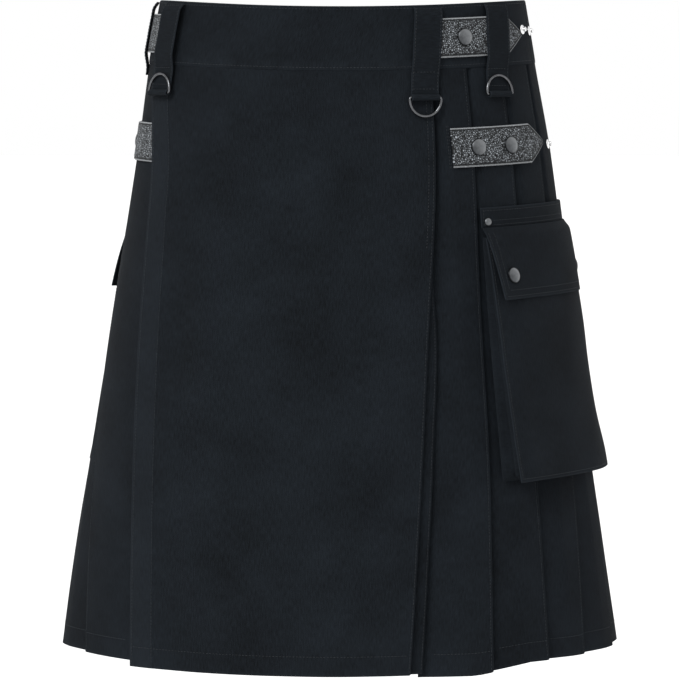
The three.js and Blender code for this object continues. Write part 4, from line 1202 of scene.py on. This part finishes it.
def turned(name, outline, sheet, look=CAP_LOOK, slot="gunmetal"):
    """A round piece turned about the line straight out of the cloth."""
    outward = Vector(outward_of(sheet)).normalized()
    turn = outward.to_track_quat("Z", "Y").to_matrix()
    origin = Vector(sheet(0, 0))
    sides = TURNED_SIDES
    points, faces = [], []
    rings = outline[1:-1]
    for radius, height in rings:
        for i in range(sides):
            angle = 2 * math.pi * i / sides
            points.append((radius * math.cos(angle), radius * math.sin(angle), height))
    top, bottom = len(points), len(points) + 1
    points += [(0, 0, outline[0][1]), (0, 0, outline[-1][1])]
    for k in range(len(rings) - 1):
        for i in range(sides):
            j = (i + 1) % sides
            faces.append((k * sides + i, (k + 1) * sides + i, (k + 1) * sides + j, k * sides + j))
    final = (len(rings) - 1) * sides
    for i in range(sides):
        j = (i + 1) % sides
        faces.append((top, i, j))
        faces.append((bottom, final + j, final + i))
    placed = [tuple(turn @ Vector(p) + origin) for p in points]
    widest = max(radius for radius, _ in outline)
    pile = Pile()
    # Each point's distance from the middle, as a share of the widest radius, is stored with it; the cap
    # material paints a shadow round the rim from it
    pile.add(placed, faces, [p[:2] for p in points], [math.hypot(p[0], p[1]) / widest for p in points])
    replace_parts(pile.build(name, look, slot=slot), name)


def make_fasteners():
    for name, angle, down, out in FASTENERS:
        def sheet(side, fall):
            return at(angle + side / reach(angle, down), down + fall, out)
        if name.startswith("stud"):
            turned(name, STUD, sheet, STEEL_LOOK, "bright_steel")
        else:
            turned(name, STRAP_SNAP, sheet)
    for pocket in POCKETS:
        for number, side_at in ((1, 0), (2, POCKET_WIDTH)):
            rivet_at = abs(side_at - RIVET_IN)
            snap_at = abs(side_at - FLAP_SNAP_IN)

            def rivet_sheet(side, fall):
                return pocket_point(pocket, rivet_at + side, RIVET_DOWN + fall, POCKET_BAND + SEAM)

            def snap_sheet(side, fall):
                down = FLAP_SNAP_DOWN + fall
                out = flap_out(pocket, snap_at + side, down) + POCKET_WALL / 2 + FLAP_SNAP_GAP
                return pocket_point(pocket, snap_at + side, down, out)
            turned(f"rivet_{pocket['word']}_{number}", RIVET, rivet_sheet)
            turned(f"snap_pocket_{pocket['word']}_{number}", SNAP, snap_sheet)


make_fasteners()


# Leather straps

SLIT_EXTRA = 3.5               # how far the slit's stitches go on above and below the strap
SLIT_SEAM = 1.7                # from the strap's end to the first row of them


def sew_slit(strap, stitches):
    """Stitches round the slit in the cloth from which a hip strap comes out."""
    turn = math.copysign(1, strap["to"] - strap["from"])
    reach_up = STRAP_HEIGHT / 2 + SLIT_EXTRA
    down = np.linspace(strap["down"] - reach_up, strap["down"] + reach_up, 40)
    for distance in (SLIT_SEAM, 2 * SLIT_SEAM):
        angle = along(strap["from"], -turn * distance, down, 3)
        points = at(angle, down, -0.2)
        sew(stitches, (points, unit(at(angle, down, 1.0) - points)))


def make_strap(name, start, end, down, base):
    length = float(arc(start, end, down))
    turn = math.copysign(1, end - start)
    half = STRAP_HEIGHT / 2
    body = length - STRAP_POINT
    distances = np.concatenate([[0, 0.5, 1.4], np.linspace(3, body, 40), np.linspace(body, length, 30)[1:]])
    across_line = np.concatenate([[-1, -0.985, -0.96], np.linspace(-0.93, 0.93, 49), [0.96, 0.985, 1]])
    tip = np.clip((distances - body) / STRAP_POINT, 0, 1)
    height = half + (STRAP_TIP / 2 - half) * tip
    along_grid, share = np.meshgrid(distances, across_line, indexing="ij")
    rows = down + share * height[:, None]
    angle = along(start, turn * along_grid, rows)
    points = at(angle, rows, base + REST + STRAP_WALL / 2)
    sheet = Sheet(points, (5, 13), STRAP_WALL)
    slant = math.cos(math.atan2(half - STRAP_TIP / 2, STRAP_POINT))
    to_side = (1 - np.abs(share)) * height[:, None] * np.where(tip > 0, slant, 1)[:, None]
    edge = np.minimum(to_side, length - along_grid)
    sheet.push(-0.25 * np.exp(-((edge - 1.6) / 0.6) ** 2))
    sheet.thickness = sheet.thickness - 0.9 * np.exp(-(edge / 0.5) ** 2)
    sheet.wear_and_painted_light = edge / 10
    sheet.rim_wear = 0.0
    piece = sheet.piece(f"strap_{name}", LEATHER_LOOK, slot="leather")
    declare(piece, f"strap_{name}")


def make_straps():
    for strap in STRAPS:
        make_strap(strap["name"], strap["from"], strap["to"], strap["down"], strap["base"])
    stitches = Pile()
    sew_slit(next(strap for strap in STRAPS if strap["name"] == "hip_left"), stitches)
    stitches.build("stitches_slit", THREAD_LOOK)


make_straps()


# Belt loops and D-rings

def d_ring(name, centre, bar_way, bow_way):
    """A ring of round wire bent to a D, lying in the plane of its bar and the way that its bow points."""
    straight = RING_HALF - RING_CORNER
    path = [(straight * t, 0.0) for t in np.linspace(-1, 1, 9)]
    corner = [(straight + RING_CORNER * math.sin(t), RING_CORNER * (1 - math.cos(t)))
              for t in (math.radians(22), math.radians(45), math.radians(67))]
    path += corner
    for i in range(49):
        turn = math.pi * i / 48
        path.append((RING_HALF * math.cos(turn), RING_CORNER + (RING_DROP - RING_CORNER) * math.sin(turn)))
    path += [(-bar, drop) for bar, drop in reversed(corner)]
    spots = np.array([centre + bar_way * bar + bow_way * drop for bar, drop in path])
    ahead = unit(np.roll(spots, -1, axis=0) - np.roll(spots, 1, axis=0))
    across = unit(np.cross(bar_way, bow_way))
    sideways = np.cross(ahead, across)
    sides = 16
    points = []
    for k in range(sides):
        turn = 2 * math.pi * k / sides
        points.append(spots + WIRE * (math.cos(turn) * sideways + math.sin(turn) * across))
    points = np.stack(points, axis=1).reshape(-1, 3)
    faces = []
    for i in range(len(path)):
        for k in range(sides):
            a, b = i * sides + k, i * sides + (k + 1) % sides
            c, d = ((i + 1) % len(path)) * sides + (k + 1) % sides, ((i + 1) % len(path)) * sides + k
            faces.append((a, b, c, d))
    pile = Pile()
    pile.add(points, faces)
    piece = pile.build(name, RING_LOOK, body=name, slot="gunmetal")
    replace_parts(piece, name)


LOOP_POINTS = 70               # along a loop, down to where its tunnel begins
LOOP_SHARES = np.array([-0.5, -0.485, -0.45, -0.4, -0.3, -0.15, 0, 0.15, 0.3, 0.4, 0.45, 0.485, 0.5])


def make_loop(name, top, foot, room, ring, stitches):
    on_apron = -90 < top < 0
    base = float(WRAP * wrapped(foot, TUNNEL_DOWN)) + APRON_LOOP_REST if on_apron else 0.0
    high = base + BAND_PROUD + room + LOOP_WALL / 2
    low = base + LOOP_LIFT
    sewn = base + REST + LOOP_WALL / 2
    key = [(LOOP_TOP, sewn + BAND_PROUD), (LOOP_FREE, high), (LOOP_TURN, high)]
    if ring:
        key += [(LOOP_DOWN, low), (TUNNEL_DOWN - TUNNEL_ENTRY, low)]
    else:
        key += [(LOOP_DOWN, sewn), (LOOP_END, sewn)]
    # The corners of the line are rounded by a short moving mean of its points
    key = np.array(key)
    lengths = np.concatenate([[0], np.cumsum(np.linalg.norm(np.diff(key, axis=0), axis=1))])
    where = np.linspace(0, lengths[-1], LOOP_POINTS)
    line = np.stack([np.interp(where, lengths, key[:, k]) for k in range(2)], axis=1)
    soft = line.copy()
    for i in range(2, len(line) - 2):
        soft[i] = line[i - 2:i + 3].mean(axis=0)
    line = soft.tolist()
    if ring:
        for turn in range(180, -100, -14):
            line.append([TUNNEL_DOWN + TUNNEL * math.sin(math.radians(turn)),
                         low + TUNNEL + TUNNEL * math.cos(math.radians(turn))])
    line = np.array(line)
    bar_way = unit((at(foot + 1, TUNNEL_DOWN) - at(foot - 1, TUNNEL_DOWN)) * [1, 1, 0])

    def place(down, out, side):
        angle = top + (foot - top) * down / TUNNEL_DOWN
        return at(angle, down, out) + np.asarray(side)[..., None] * bar_way * LOOP_WIDTH
    down, side = np.meshgrid(line[:, 0], LOOP_SHARES, indexing="ij")
    out = np.broadcast_to(line[:, 1:2], down.shape)
    sheet = Sheet(place(down, out, side), (20, 6), LOOP_WALL)
    sheet.push(0.12 * wobble(down * 0.12 + side * 2, 301))
    sheet.wear_and_painted_light = 0.4 * np.exp(-((0.5 - np.abs(side)) * LOOP_WIDTH / 0.8) ** 2)
    piece = sheet.piece(f"loop_{name}", CANVAS_LOOK)
    declare(piece, f"loop_{name}")
    last = LOOP_POINTS - 1 if ring else len(line) - 2
    for share_row in (1.9, 10.1):
        rows_line = np.linspace(1, last, 90)
        sew(stitches, sheet.spot(rows_line, np.full(90, share_row)))
    for stop in ((3.5, 60.5, 76.0) if ring else (3.5, 66.0)):
        column = float(np.interp(stop, line[:LOOP_POINTS, 0], np.arange(LOOP_POINTS)))
        sew(stitches, sheet.spot(np.full(12, column), np.linspace(1.5, 10.5, 12)))
    if not ring:
        return
    centre = place(np.array(TUNNEL_DOWN), np.array(low + TUNNEL), np.array(0.0))
    above = place(np.array(TUNNEL_DOWN - 10), np.array(low + TUNNEL), np.array(0.0))
    up = above - centre
    up = unit(up - bar_way * np.dot(up, bar_way))
    d_ring(f"d_ring_{name}", centre, bar_way, up if ring == "up" else np.array([0, 0, -1.0]))


def make_loops():
    stitches = Pile()
    for loop in LOOPS:
        make_loop(loop["name"], loop["top"], loop["foot"], loop["room"], loop["ring"], stitches)
    stitches.build("stitches_loops", THREAD_LOOK)


make_loops()


# Floor, world and light

FLOOR_SIZE = 80
SUN_PLACE = (-1.4, -2.2, 2.0)  # the direction of a far soft box
SUN_STRENGTH = 2.4
SUN_SPREAD = 28                # degrees


def make_stage():
    bpy.ops.mesh.primitive_plane_add(size=FLOOR_SIZE, location=(0, 0, FLOOR_HEIGHT))
    floor = bpy.context.object
    floor.name = "floor"
    floor.data.materials.append(material("floor", grey(0.86), 0.8, specular=0.1)[0])
    world = bpy.data.worlds.new("world")
    bpy.context.scene.world = world
    world.use_nodes = True
    background = world.node_tree.nodes["Background"]
    background.inputs["Color"].default_value = (1, 1, 1, 1)
    background.inputs["Strength"].default_value = 1.0
    data = bpy.data.lights.new("key", "SUN")
    data.energy = SUN_STRENGTH
    data.angle = math.radians(SUN_SPREAD)
    light = bpy.data.objects.new("key", data)
    light.location = SUN_PLACE
    light.rotation_euler = Vector(SUN_PLACE).to_track_quat("Z", "Y").to_euler()
    bpy.context.collection.objects.link(light)
    bpy.context.scene.view_settings.view_transform = "Standard"


make_stage()
